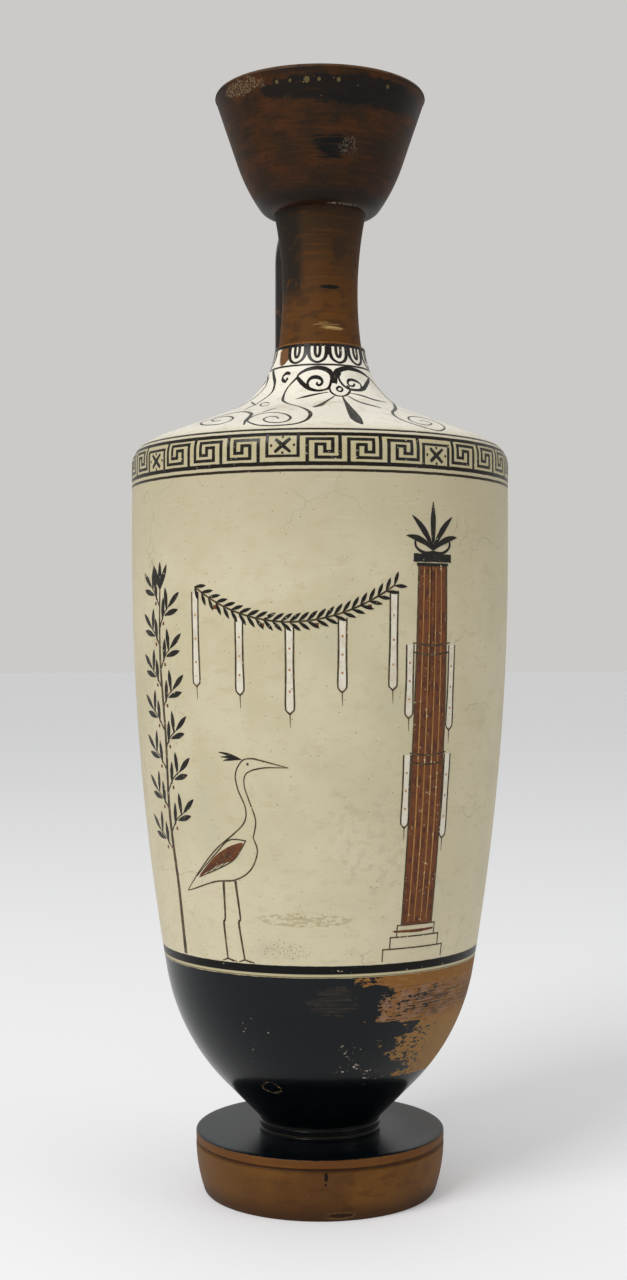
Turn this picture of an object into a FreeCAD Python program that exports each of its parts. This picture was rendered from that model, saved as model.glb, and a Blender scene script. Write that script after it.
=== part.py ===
import FreeCAD, Part
import math
import os
import Sketcher

# A tall oil flask of fired clay, turned on a wheel: foot disc, shouldered body, narrow neck,
# flaring mouth cup and one strap handle at the back. Millimetres, +Z up, axis on Z,
# the foot rests on Z = 0, the handle stands on +Y.

# Driving sizes
SIZES = (
    ("foot_radius", 43.2, "widest radius of the foot disc"),
    ("foot_undercut", 3.0, "how far the foot's side draws in down to the resting plane"),
    ("foot_side_rise", 17.4, "resting plane to the groove round the foot"),
    ("foot_band_rise", 3.6, "groove to the top of the foot disc"),
    ("foot_groove_radius", 0.75, "half width of the groove round the foot"),
    ("foot_edge_round", 0.7, "rounding of the upper edge of the foot"),
    ("ring_width", 7.2, "width of the ring that the foot stands on"),
    ("recess_step", 4.0, "upright rise of the hollow at its rim"),
    ("recess_depth", 9.0, "depth of the hollow at its centre"),
    ("collar_radius", 21.0, "radius of the collar between foot and bowl"),
    ("collar_rise", 4.2, "height of the collar"),
    ("collar_line_radius", 0.4, "half width of the lines cut into the collar"),
    ("collar_line_rise", 0.7, "top of the foot disc to the collar's lower line"),
    ("collar_line_gap", 2.4, "lower line to upper line of the collar"),
    ("bowl_rise", 51.8, "collar to the top of the rounded bowl"),
    ("cone_width_share", 0.392, "share of the bowl's width that its straight foot takes"),
    ("cone_rise_share", 0.252, "share of the bowl's height that its straight foot takes"),
    ("taper_rise", 143.4, "height of the slowly widening wall"),
    ("body_radius", 65.4, "outer radius of the upright wall"),
    ("wall_taper", 12.1, "how far the wall draws in from there down to the bowl"),
    ("upright_rise", 30.0, "height of the upright wall"),
    ("shoulder_edge_round", 8.0, "rounding of the shoulder's outer edge"),
    ("shoulder_crown_round", 39.0, "radius of the crown just inside that edge"),
    ("shoulder_crown_width", 10.2, "width of edge and crown together"),
    ("shoulder_slope", 21.0, "slope of the shoulder in degrees"),
    ("shoulder_rise", 41.2, "upright wall to the ridge at the foot of the neck"),
    ("flare_round", 27.2, "radius of the sweep from shoulder to neck"),
    ("ridge_width", 1.1, "how far the ridge at the foot of the neck stands out"),
    ("neck_rise", 46.9, "ridge to the underside of the mouth"),
    ("waist_rise", 19.6, "ridge to the narrowest place of the neck"),
    ("waist_radius", 13.2, "outer radius of the neck's narrowest place"),
    ("neck_curve", 138.0, "radius of the neck's hollow outline"),
    ("mouth_rise", 41.5, "underside to the top of the mouth"),
    ("mouth_ledge", 0.6, "width of the flat underside of the mouth"),
    ("mouth_corner_round", 5.6, "rounding at the bottom of the mouth"),
    ("mouth_side_round", 62.5, "radius of the mouth's swelling side"),
    ("flank_length", 24.6, "length of the mouth's straight upper side"),
    ("lip_radius", 37.0, "outer radius of the lip"),
    ("lip_width", 4.2, "width of the lip"),
    ("lip_round", 1.5, "rounding of both edges of the lip"),
    ("cup_floor_thick", 6.5, "clay between the mouth's underside and the cup's floor"),
    ("cup_floor_width", 0.85, "width of the cup's flat floor"),
    ("cup_round", 12.0, "rounding at the bottom of the cup"),
    ("throat_round", 3.0, "rounding where the cup runs into the bore"),
    ("bore_radius", 8.5, "radius of the bore through the neck"),
    ("inner_flare_round", 22.0, "radius of the sweep under the neck, inside"),
    ("body_wall", 4.6, "thickness of the body's wall"),
    ("inner_edge_drop", 1.8, "shoulder edge to the top of the upright wall inside"),
    ("inner_edge_round", 5.5, "rounding under the shoulder's edge, inside"),
    ("floor_radius", 12.0, "radius of the chamber's flat floor"),
    ("floor_thick", 9.0, "clay between the collar's top and the chamber's floor"),
    ("handle_reach", 30.3, "axis to the inner face of the upright strap"),
    ("handle_width", 17.0, "width of the strap"),
    ("handle_edge_round", 2.6, "rounding of the strap's edges"),
    ("handle_face_round", 22.0, "radius of the strap's swelling outer face"),
    ("handle_arch_round", 5.5, "radius of the arch, on the strap's inner face"),
    ("handle_join_drop", 10.73, "underside of the mouth down to the strap's inner end in the neck"),
    ("handle_top_slope", 24.0, "fall of the strap from the arch to the neck in degrees"),
    ("handle_root_wall", 1.8, "clay between the bore and the end of the strap"),
    ("handle_bend_round", 150.0, "radius of the outward bend at the strap's foot"),
    ("handle_bend_rise", 40.0, "height of that bend"),
    ("handle_foot_blend", 2.6, "smeared clay where the strap meets the shoulder"),
    ("handle_neck_blend", 2.0, "smeared clay where the strap meets the neck"),
)

doc = FreeCAD.newDocument("flask")
sheet = doc.addObject("Spreadsheet::Sheet", "sizes")
for row, (alias, number, note) in enumerate(SIZES, start=1):
    sheet.set("A%d" % row, alias)
    sheet.set("B%d" % row, str(number))
    sheet.set("C%d" % row, note)
    sheet.setAlias("B%d" % row, alias)
doc.recompute()


def cell(alias):
    """Number that the sheet holds under this name."""
    return float(sheet.get(alias))


def stack(*aliases):
    """Expression for rises that stand one on another."""
    return " + ".join("sizes." + alias for alias in aliases)


def total(*aliases):
    """The same sum as a number, for the first draft of a sketch."""
    return sum(cell(alias) for alias in aliases)


# Levels, each a stack of rises from the resting plane
FOOT_GROOVE = ("foot_side_rise",)
FOOT_TOP = FOOT_GROOVE + ("foot_band_rise",)
COLLAR_TOP = FOOT_TOP + ("collar_rise",)
BOWL_TOP = COLLAR_TOP + ("bowl_rise",)
WALL_TOP = BOWL_TOP + ("taper_rise",)
EDGE = WALL_TOP + ("upright_rise",)
NECK_FOOT = EDGE + ("shoulder_rise",)
MOUTH_FLOOR = NECK_FOOT + ("neck_rise",)
LIP = MOUTH_FLOOR + ("mouth_rise",)
WAIST = NECK_FOOT + ("waist_rise",)
CUP_FLOOR = MOUTH_FLOOR + ("cup_floor_thick",)
CHAMBER_FLOOR = COLLAR_TOP + ("floor_thick",)

# A sketch's own origin and upright axis, and the points of an edge, by their numbers in a sketch
ROOT = (-1, 1)
UPRIGHT_AXIS = (-2,)
POINTS = ("whole", "start", "end", "centre")
START = POINTS.index("start")
END = POINTS.index("end")
CENTRE = POINTS.index("centre")

# Points closer than this to a face count as lying on it
SKIN_NEARNESS = 0.01


def origin_plane(body, role):
    """One of the body's own origin planes."""
    for feature in body.Origin.OriginFeatures:
        if feature.Role == role:
            return feature
    raise ValueError(role)


def new_sketch(body, name, role):
    sketch = body.newObject("Sketcher::SketchObject", name)
    sketch.AttachmentSupport = [(origin_plane(body, role), "")]
    sketch.MapMode = "FlatFace"
    return sketch


def vector(point):
    return FreeCAD.Vector(point[0], point[1], 0)


def between(start, end, across, up):
    """Point at these shares of the way from start to end."""
    return (start[0] + across * (end[0] - start[0]), start[1] + up * (end[1] - start[1]))


def neck_radius(height):
    """Outer radius of the neck at a height."""
    curve = cell("neck_curve")
    return cell("waist_radius") + curve - math.sqrt(curve ** 2 - (height - total(*WAIST)) ** 2)


class Edge:
    """One line or arc of a sketch, with the numbers of its first and last point along the outline."""

    def __init__(self, index, first, last):
        self.index = index
        self.first = (index, first)
        self.last = (index, last)
        self.centre = (index, CENTRE)


def line(sketch, start, end):
    index = sketch.addGeometry(Part.LineSegment(vector(start), vector(end)), False)
    return Edge(index, START, END)


def arc(sketch, start, end, radius, side):
    """Arc of the short way from start to end, with its centre on the left or right side."""
    across = (end[0] - start[0], end[1] - start[1])
    chord = math.hypot(across[0], across[1])
    rise = math.sqrt(max(radius ** 2 - chord ** 2 / 4, 0.0))
    if side == "right":
        rise = -rise
    centre = (
        (start[0] + end[0]) / 2 - across[1] / chord * rise,
        (start[1] + end[1]) / 2 + across[0] / chord * rise,
    )
    first = math.atan2(start[1] - centre[1], start[0] - centre[0])
    last = math.atan2(end[1] - centre[1], end[0] - centre[0])
    circle = Part.Circle(vector(centre), FreeCAD.Vector(0, 0, 1), max(radius, chord / 2))
    if side == "left":
        index = sketch.addGeometry(Part.ArcOfCircle(circle, first, last), False)
        return Edge(index, START, END)
    index = sketch.addGeometry(Part.ArcOfCircle(circle, last, first), False)
    return Edge(index, END, START)


def coincide(sketch, point, other):
    sketch.addConstraint(Sketcher.Constraint("Coincident", *point, *other))


def chain(sketch, edges, smooth):
    """Joins named edges in order into a closed outline; those named smooth run on into the next."""
    names = list(edges)
    for name, following in zip(names, names[1:] + names[:1]):
        kind = "Tangent" if name in smooth else "Coincident"
        sketch.addConstraint(Sketcher.Constraint(kind, *edges[name].last, *edges[following].first))


def measure(sketch, kind, places, number, expression):
    """A size of the sketch, bound to the sheet."""
    index = sketch.addConstraint(Sketcher.Constraint(kind, *places, number))
    sketch.setExpression("Constraints[%d]" % index, expression)


def radius_at(sketch, point, *aliases):
    """Distance of a point from the axis."""
    measure(sketch, "DistanceX", ROOT + point, total(*aliases), stack(*aliases))


def height_at(sketch, point, *aliases):
    """Height of a point above the resting plane."""
    measure(sketch, "DistanceY", ROOT + point, total(*aliases), stack(*aliases))


def width_of(sketch, first, last, alias):
    """Level distance from one point out to another."""
    measure(sketch, "DistanceX", first + last, cell(alias), "sizes." + alias)


def round_of(sketch, edge, alias):
    measure(sketch, "Radius", (edge.index,), cell(alias), "sizes." + alias)


def level_runs(sketch, edges):
    for edge in edges:
        sketch.addConstraint(Sketcher.Constraint("Horizontal", edge.index))


def upright_runs(sketch, edges):
    for edge in edges:
        sketch.addConstraint(Sketcher.Constraint("Vertical", edge.index))


def same_height(sketch, point, other):
    sketch.addConstraint(Sketcher.Constraint("Horizontal", *point, *other))


def turned(body, kind, name, sketch):
    """Turns a half outline round the flask's axis, as clay added or taken away."""
    feature = body.newObject(kind, name)
    feature.Profile = sketch
    feature.ReferenceAxis = (sketch, ["V_Axis"])
    feature.Angle = 360
    sketch.Visibility = False
    return feature


vessel = doc.addObject("PartDesign::Body", "vessel")
vessel.Label = "vessel"
vessel.Placement = FreeCAD.Placement()


def outline_edges(sketch):
    """First draft of the outer outline, from the axis under the foot up to the lip and back to the axis."""
    foot_groove = (cell("foot_radius"), total(*FOOT_GROOVE))
    foot_top = (cell("foot_radius"), total(*FOOT_TOP))
    foot_rest = (cell("foot_radius") - cell("foot_undercut"), 0.0)
    collar_foot = (cell("collar_radius"), total(*FOOT_TOP))
    collar_top = (cell("collar_radius"), total(*COLLAR_TOP))
    bowl_top = (cell("body_radius") - cell("wall_taper"), total(*BOWL_TOP))
    cone_end = between(collar_top, bowl_top, cell("cone_width_share"), cell("cone_rise_share"))
    wall_top = (cell("body_radius"), total(*WALL_TOP))
    edge_foot = (cell("body_radius"), total(*EDGE))
    edge_round = cell("shoulder_edge_round")
    edge_top = (edge_foot[0] - 0.47 * edge_round, edge_foot[1] + 0.85 * edge_round)
    crown_end = (edge_foot[0] - cell("shoulder_crown_width"), edge_foot[1] + 1.26 * edge_round)
    ridge_in = (neck_radius(total(*NECK_FOOT)), total(*NECK_FOOT))
    neck_foot = (ridge_in[0] + cell("ridge_width"), ridge_in[1])
    slope_end_radius = neck_foot[0] + 0.64 * cell("flare_round")
    slope_rise = (crown_end[0] - slope_end_radius) * math.tan(math.radians(cell("shoulder_slope")))
    slope_end = (slope_end_radius, crown_end[1] + slope_rise)
    mouth_floor = total(*MOUTH_FLOOR)
    neck_top = (neck_radius(mouth_floor), mouth_floor)
    mouth_foot = (neck_top[0] + cell("mouth_ledge"), mouth_floor)
    corner_round = cell("mouth_corner_round")
    corner_end = (mouth_foot[0] + 0.81 * corner_round, mouth_floor + 0.42 * corner_round)
    lip_top = (cell("lip_radius"), total(*LIP))
    flank = cell("flank_length")
    side_end = (lip_top[0] - 0.32 * flank, lip_top[1] - 0.95 * flank)
    return {
        "base": line(sketch, (0.0, 0.0), foot_rest),
        "foot_side": arc(sketch, foot_rest, foot_groove, 3 * cell("foot_side_rise"), "left"),
        "foot_band": line(sketch, foot_groove, foot_top),
        "foot_deck": line(sketch, foot_top, collar_foot),
        "collar": line(sketch, collar_foot, collar_top),
        "cone": line(sketch, collar_top, cone_end),
        "bowl": arc(sketch, cone_end, bowl_top, 1.12 * cell("body_radius"), "left"),
        "wall": arc(sketch, bowl_top, wall_top, 6 * cell("taper_rise"), "left"),
        "upright": line(sketch, wall_top, edge_foot),
        "edge": arc(sketch, edge_foot, edge_top, edge_round, "left"),
        "crown": arc(sketch, edge_top, crown_end, cell("shoulder_crown_round"), "left"),
        "shoulder": line(sketch, crown_end, slope_end),
        "flare": arc(sketch, slope_end, neck_foot, cell("flare_round"), "right"),
        "ridge": line(sketch, neck_foot, ridge_in),
        "neck": arc(sketch, ridge_in, neck_top, cell("neck_curve"), "right"),
        "underside": line(sketch, neck_top, mouth_foot),
        "corner": arc(sketch, mouth_foot, corner_end, corner_round, "left"),
        "side": arc(sketch, corner_end, side_end, cell("mouth_side_round"), "left"),
        "flank": line(sketch, side_end, lip_top),
        "lip": line(sketch, lip_top, (0.0, lip_top[1])),
        "axis": line(sketch, (0.0, lip_top[1]), (0.0, 0.0)),
    }


def outer_form():
    """The thrown form, still solid: foot disc, collar, bowl, wall, shoulder, neck and mouth."""
    sketch = new_sketch(vessel, "outline", "XZ_Plane")
    edge = outline_edges(sketch)
    smooth = ("bowl", "wall", "upright", "edge", "crown", "shoulder", "underside", "corner", "side")
    chain(sketch, edge, smooth)
    coincide(sketch, edge["base"].first, ROOT)
    level_runs(sketch, [edge[name] for name in ("base", "foot_deck", "ridge", "underside", "lip")])
    upright_runs(sketch, [edge[name] for name in ("foot_band", "collar", "upright", "axis")])
    same_height(sketch, edge["foot_side"].centre, edge["foot_side"].last)
    radius_at(sketch, edge["foot_band"].first, "foot_radius")
    radius_at(sketch, edge["collar"].first, "collar_radius")
    radius_at(sketch, edge["upright"].first, "body_radius")
    radius_at(sketch, edge["neck"].centre, "waist_radius", "neck_curve")
    radius_at(sketch, edge["flank"].last, "lip_radius")
    height_at(sketch, edge["foot_band"].first, *FOOT_GROOVE)
    height_at(sketch, edge["foot_band"].last, *FOOT_TOP)
    height_at(sketch, edge["collar"].last, *COLLAR_TOP)
    height_at(sketch, edge["bowl"].last, *BOWL_TOP)
    height_at(sketch, edge["upright"].first, *WALL_TOP)
    height_at(sketch, edge["upright"].last, *EDGE)
    height_at(sketch, edge["ridge"].first, *NECK_FOOT)
    height_at(sketch, edge["neck"].centre, *WAIST)
    height_at(sketch, edge["underside"].first, *MOUTH_FLOOR)
    height_at(sketch, edge["flank"].last, *LIP)
    width_of(sketch, edge["base"].last, edge["foot_band"].first, "foot_undercut")
    width_of(sketch, edge["bowl"].last, edge["upright"].first, "wall_taper")
    width_of(sketch, edge["crown"].last, edge["upright"].last, "shoulder_crown_width")
    width_of(sketch, edge["neck"].first, edge["ridge"].first, "ridge_width")
    width_of(sketch, edge["neck"].last, edge["underside"].last, "mouth_ledge")
    collar_top = edge["cone"].first
    cone_width = cell("cone_width_share") * (total("body_radius") - total("wall_taper", "collar_radius"))
    bowl_width = "(sizes.body_radius - sizes.wall_taper - sizes.collar_radius)"
    cone_across = bowl_width + " * sizes.cone_width_share"
    measure(sketch, "DistanceX", collar_top + edge["cone"].last, cone_width, cone_across)
    cone_rise = cell("cone_rise_share") * cell("bowl_rise")
    cone_up = "sizes.bowl_rise * sizes.cone_rise_share"
    measure(sketch, "DistanceY", collar_top + edge["cone"].last, cone_rise, cone_up)
    round_of(sketch, edge["edge"], "shoulder_edge_round")
    round_of(sketch, edge["crown"], "shoulder_crown_round")
    round_of(sketch, edge["flare"], "flare_round")
    round_of(sketch, edge["neck"], "neck_curve")
    round_of(sketch, edge["corner"], "mouth_corner_round")
    round_of(sketch, edge["side"], "mouth_side_round")
    slope = math.radians(180 - cell("shoulder_slope"))
    measure(sketch, "Angle", (edge["shoulder"].index,), slope, "(180 - sizes.shoulder_slope) * 1 deg")
    measure(sketch, "Distance", (edge["flank"].index,), cell("flank_length"), "sizes.flank_length")
    crown_height = sketch.addConstraint(
        Sketcher.Constraint("DistanceY", *ROOT, *edge["crown"].last, total(*EDGE))
    )
    sketch.renameConstraint(crown_height, "crown_height")
    sketch.setDriving(crown_height, False)
    return turned(vessel, "PartDesign::Revolution", "thrown_form", sketch)


def cavity():
    """The hollow from the lip down: mouth cup, bore through the neck, and body chamber."""
    sketch = new_sketch(vessel, "hollow", "XZ_Plane")
    rim = (cell("lip_radius") - cell("lip_width"), total(*LIP))
    cup_round = cell("cup_round")
    cup_floor = total(*CUP_FLOOR)
    throat = cell("throat_round")
    bore = cell("bore_radius")
    flare_round = cell("inner_flare_round")
    chamber = cell("body_radius") - cell("body_wall")
    edge_round = cell("inner_edge_round")
    edge_foot = (chamber, total(*EDGE) - cell("inner_edge_drop"))
    edge_top = (chamber - 0.64 * edge_round, edge_foot[1] + 0.93 * edge_round)
    flare_end_radius = bore + 0.64 * flare_round
    slope_rise = (edge_top[0] - flare_end_radius) * math.tan(math.radians(cell("shoulder_slope")))
    flare_end = (flare_end_radius, edge_top[1] + slope_rise)
    flare_top = (bore, flare_end[1] + 0.93 * flare_round)
    cup_foot = (bore + throat + cell("cup_floor_width"), cup_floor)
    cup_top = (cup_foot[0] + 0.95 * cup_round, cup_floor + 0.68 * cup_round)
    wall_top = (chamber, total(*WALL_TOP))
    bowl_top = (chamber - cell("wall_taper"), total(*BOWL_TOP))
    floor = (0.0, total(*CHAMBER_FLOOR))
    floor_edge = (cell("floor_radius"), floor[1])
    edge = {
        "lid": line(sketch, (0.0, rim[1]), rim),
        "cup_side": line(sketch, rim, cup_top),
        "cup_bend": arc(sketch, cup_top, cup_foot, cup_round, "right"),
        "cup_floor": line(sketch, cup_foot, (bore + throat, cup_floor)),
        "throat": arc(sketch, (bore + throat, cup_floor), (bore, cup_floor - throat), throat, "left"),
        "bore": line(sketch, (bore, cup_floor - throat), flare_top),
        "flare": arc(sketch, flare_top, flare_end, flare_round, "left"),
        "shoulder": line(sketch, flare_end, edge_top),
        "edge": arc(sketch, edge_top, edge_foot, edge_round, "right"),
        "upright": line(sketch, edge_foot, wall_top),
        "wall": arc(sketch, wall_top, bowl_top, 6 * cell("taper_rise"), "right"),
        "bowl": arc(sketch, bowl_top, floor_edge, 0.84 * cell("body_radius"), "right"),
        "floor": line(sketch, floor_edge, floor),
        "axis": line(sketch, floor, (0.0, rim[1])),
    }
    corners = ("lid", "bowl", "floor", "axis")
    chain(sketch, edge, [name for name in edge if name not in corners])
    level_runs(sketch, [edge["lid"], edge["cup_floor"], edge["floor"]])
    upright_runs(sketch, [edge[name] for name in ("bore", "upright", "axis")])
    sketch.addConstraint(Sketcher.Constraint("PointOnObject", *edge["axis"].first, *UPRIGHT_AXIS))
    for point, expression, number in (
        (edge["lid"].last, "sizes.lip_radius - sizes.lip_width", rim[0]),
        (edge["upright"].first, "sizes.body_radius - sizes.body_wall", chamber),
        (edge["bowl"].first, "sizes.body_radius - sizes.body_wall - sizes.wall_taper", bowl_top[0]),
    ):
        measure(sketch, "DistanceX", ROOT + point, number, expression)
    radius_at(sketch, edge["bore"].first, "bore_radius")
    radius_at(sketch, edge["cup_floor"].first, "bore_radius", "throat_round", "cup_floor_width")
    radius_at(sketch, edge["floor"].first, "floor_radius")
    height_at(sketch, edge["lid"].first, *LIP)
    height_at(sketch, edge["cup_floor"].last, *CUP_FLOOR)
    edge_level = stack(*EDGE) + " - sizes.inner_edge_drop"
    measure(sketch, "DistanceY", ROOT + edge["upright"].first, edge_foot[1], edge_level)
    height_at(sketch, edge["upright"].last, *WALL_TOP)
    height_at(sketch, edge["bowl"].first, *BOWL_TOP)
    height_at(sketch, edge["floor"].last, *CHAMBER_FLOOR)
    round_of(sketch, edge["cup_bend"], "cup_round")
    round_of(sketch, edge["throat"], "throat_round")
    round_of(sketch, edge["flare"], "inner_flare_round")
    round_of(sketch, edge["edge"], "inner_edge_round")
    slope = math.radians(-cell("shoulder_slope"))
    measure(sketch, "Angle", (edge["shoulder"].index,), slope, "-sizes.shoulder_slope * 1 deg")
    return turned(vessel, "PartDesign::Groove", "hollow_cut", sketch)


def foot_recess():
    """The hollow underside, which leaves a ring to stand on."""
    sketch = new_sketch(vessel, "recess", "XZ_Plane")
    radius = cell("foot_radius") - cell("foot_undercut") - cell("ring_width")
    rim = (radius, 0.0)
    step = (radius, cell("recess_step"))
    top = (0.0, cell("recess_depth"))
    edge = {
        "mouth": line(sketch, (0.0, 0.0), rim),
        "step": line(sketch, rim, step),
        "vault": line(sketch, step, top),
        "axis": line(sketch, top, (0.0, 0.0)),
    }
    chain(sketch, edge, ())
    coincide(sketch, edge["mouth"].first, ROOT)
    level_runs(sketch, [edge["mouth"]])
    upright_runs(sketch, [edge["step"], edge["axis"]])
    ring_inside = "sizes.foot_radius - sizes.foot_undercut - sizes.ring_width"
    measure(sketch, "DistanceX", ROOT + edge["step"].first, radius, ring_inside)
    height_at(sketch, edge["step"].last, "recess_step")
    height_at(sketch, edge["vault"].last, "recess_depth")
    return turned(vessel, "PartDesign::Groove", "recess_cut", sketch)


def turned_lines():
    """Lines cut into the turning clay: one round the foot disc, two round the collar."""
    sketch = new_sketch(vessel, "fine_lines", "XZ_Plane")
    for radius, levels, width in (
        ("foot_radius", FOOT_GROOVE, "foot_groove_radius"),
        ("collar_radius", FOOT_TOP + ("collar_line_rise",), "collar_line_radius"),
        ("collar_radius", FOOT_TOP + ("collar_line_rise", "collar_line_gap"), "collar_line_radius"),
    ):
        middle = FreeCAD.Vector(cell(radius), total(*levels), 0)
        index = sketch.addGeometry(Part.Circle(middle, FreeCAD.Vector(0, 0, 1), cell(width)), False)
        radius_at(sketch, (index, CENTRE), radius)
        height_at(sketch, (index, CENTRE), *levels)
        measure(sketch, "Radius", (index,), cell(width), "sizes." + width)
    return turned(vessel, "PartDesign::Groove", "line_cuts", sketch)


def strap_path(outline):
    """The line of the strap's inner face, from inside the shoulder up and over to the neck."""
    sketch = new_sketch(vessel, "strap_path", "YZ_Plane")
    reach = cell("handle_reach")
    bend = cell("handle_bend_round")
    rise = cell("handle_bend_rise")
    arch = cell("handle_arch_round")
    fall = math.radians(cell("handle_top_slope"))
    foot_height = outline.getDatum("crown_height").Value
    foot = (reach + rise ** 2 / bend / 2, foot_height)
    bend_top = (reach, foot_height + rise)
    inside = cell("bore_radius") + cell("handle_root_wall")
    neck_end = (inside, total(*MOUTH_FLOOR) - cell("handle_join_drop"))
    arch_reach = reach - arch - arch * math.sin(fall)
    arch_end = (arch_reach, neck_end[1] + (arch_reach - inside) * math.tan(fall))
    arch_foot = arch_end[1] - arch * math.cos(fall)
    edge = {
        "bend": arc(sketch, foot, bend_top, bend, "right"),
        "upright": line(sketch, bend_top, (reach, arch_foot)),
        "arch": arc(sketch, (reach, arch_foot), arch_end, arch, "left"),
        "run": line(sketch, arch_end, neck_end),
    }
    for name, following in (("bend", "upright"), ("upright", "arch"), ("arch", "run")):
        sketch.addConstraint(Sketcher.Constraint("Tangent", *edge[name].last, *edge[following].first))
    upright_runs(sketch, [edge["upright"]])
    radius_at(sketch, edge["upright"].first, "handle_reach")
    bore_side = "sizes.bore_radius + sizes.handle_root_wall"
    measure(sketch, "DistanceX", ROOT + edge["run"].last, inside, bore_side)
    measure(sketch, "DistanceY", ROOT + edge["bend"].first, foot_height, "outline.Constraints.crown_height")
    bend_rise = edge["bend"].first + edge["bend"].last
    measure(sketch, "DistanceY", bend_rise, rise, "sizes.handle_bend_rise")
    join_level = stack(*MOUTH_FLOOR) + " - sizes.handle_join_drop"
    measure(sketch, "DistanceY", ROOT + edge["run"].last, neck_end[1], join_level)
    round_of(sketch, edge["bend"], "handle_bend_round")
    round_of(sketch, edge["arch"], "handle_arch_round")
    run_slope = math.radians(cell("handle_top_slope") - 180)
    measure(sketch, "Angle", (edge["run"].index,), run_slope, "(sizes.handle_top_slope - 180) * 1 deg")
    reference = sketch.addConstraint(Sketcher.Constraint("DistanceX", *ROOT, *edge["bend"].first, foot[0]))
    sketch.renameConstraint(reference, "foot_reach")
    sketch.setDriving(reference, False)
    return sketch


def strap_section(path):
    """The strap cut across: a flat inner face, two rounded edges and a swelling outer face."""
    sketch = new_sketch(vessel, "strap_section", "XY_Plane")
    sketch.setExpression("AttachmentOffset.Base.z", "outline.Constraints.crown_height")
    foot = path.getDatum("foot_reach").Value
    edge_round = cell("handle_edge_round")
    flat = cell("handle_width") / 2 - edge_round
    bulge = cell("handle_face_round")
    lean = math.asin(flat / (bulge - edge_round))
    lift = edge_round * (1 + math.cos(lean))
    out = flat + edge_round * math.sin(lean)
    edge = {
        "inner": line(sketch, (-flat, foot), (flat, foot)),
        "right": arc(sketch, (flat, foot), (out, foot + lift), edge_round, "left"),
        "outer": arc(sketch, (out, foot + lift), (-out, foot + lift), bulge, "left"),
        "left": arc(sketch, (-out, foot + lift), (-flat, foot), edge_round, "left"),
    }
    chain(sketch, edge, tuple(edge))
    level_runs(sketch, [edge["inner"]])
    sketch.addConstraint(Sketcher.Constraint("PointOnObject", *edge["outer"].centre, *UPRIGHT_AXIS))
    measure(sketch, "DistanceY", ROOT + edge["inner"].first, foot, "strap_path.Constraints.foot_reach")
    half_flat = "sizes.handle_width / 2 - sizes.handle_edge_round"
    measure(sketch, "DistanceX", ROOT + edge["inner"].last, flat, half_flat)
    round_of(sketch, edge["right"], "handle_edge_round")
    round_of(sketch, edge["left"], "handle_edge_round")
    round_of(sketch, edge["outer"], "handle_face_round")
    return sketch


def soften(name, alias, edges):
    """Rounds the named edges of the vessel as it stands."""
    base = vessel.Tip
    blend = vessel.newObject("PartDesign::Fillet", name)
    blend.Base = (base, edges)
    blend.Radius = cell(alias)
    blend.setExpression("Radius", "sizes." + alias)
    doc.recompute()


def on_skin(shape, point):
    """Whether a point lies on a shape's faces."""
    return Part.makeShell(shape.Faces).distToShape(Part.Vertex(point))[0] < SKIN_NEARNESS


def seams(joined, form, strap, low, high):
    """Names of the joined form's edges where strap and thrown form meet, between two heights."""
    names = []
    for number, edge in enumerate(joined.Edges, start=1):
        first, last = edge.ParameterRange
        spots = [edge.valueAt(first + (last - first) * share) for share in (0.1, 0.5, 0.9)]
        if not all(low < spot.z < high and spot.y > 0 for spot in spots):
            continue
        if all(on_skin(form, spot) and on_skin(strap, spot) for spot in spots):
            names.append("Edge%d" % number)
    return names


def handle(form):
    """The strap handle, bent out of one strip and smeared onto shoulder and neck."""
    outline = doc.getObject("outline")
    path = strap_path(outline)
    doc.recompute()
    section = strap_section(path)
    doc.recompute()
    strap = vessel.newObject("PartDesign::AdditivePipe", "strap")
    strap.Profile = section
    strap.Spine = (path, ["Edge%d" % number for number in range(1, 5)])
    strap.Mode = "Frenet"
    path.Visibility = False
    section.Visibility = False
    doc.recompute()
    middle = (total(*EDGE) + total(*MOUTH_FLOOR)) / 2
    clay = strap.AddSubShape.copy()
    clay.Placement = strap.Placement.multiply(clay.Placement)
    for name, low, high, alias in (
        ("foot_smear", total(*EDGE), middle, "handle_foot_blend"),
        ("neck_smear", middle, total(*LIP), "handle_neck_blend"),
    ):
        soften(name, alias, seams(vessel.Tip.Shape, form.Shape, clay, low, high))


def circles_at(shape, radius, height):
    """Names of the full circles round the axis with this radius and height."""
    names = []
    for number, edge in enumerate(shape.Edges, start=1):
        if edge.Degenerated or not isinstance(edge.Curve, Part.Circle):
            continue
        curve = edge.Curve
        if abs(curve.Radius - radius) > SKIN_NEARNESS:
            continue
        if abs(curve.Center.z - height) < SKIN_NEARNESS and math.hypot(curve.Center.x, curve.Center.y) < 1:
            names.append("Edge%d" % number)
    return names


form = outer_form()
doc.recompute()
handle(form)
cavity()
foot_recess()
turned_lines()
doc.recompute()
lip_height = total(*LIP)
lip_circles = circles_at(vessel.Shape, cell("lip_radius"), lip_height)
lip_circles += circles_at(vessel.Shape, cell("lip_radius") - cell("lip_width"), lip_height)
soften("lip_edges", "lip_round", lip_circles)
soften("foot_edge", "foot_edge_round", circles_at(vessel.Shape, cell("foot_radius"), total(*FOOT_TOP)))

for thing in doc.Objects:
    if "Invalid" in thing.State or "Error" in thing.State:
        raise RuntimeError("%s did not build" % thing.Name)
shape = vessel.Shape
if shape.isNull() or not shape.isValid() or len(shape.Solids) != 1:
    raise RuntimeError("the vessel is not one whole solid")
os.makedirs("parts", exist_ok=True)
shape.exportStep("parts/%s.step" % vessel.Label)
print(vessel.Label, round(shape.Volume), shape.optimalBoundingBox())
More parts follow.
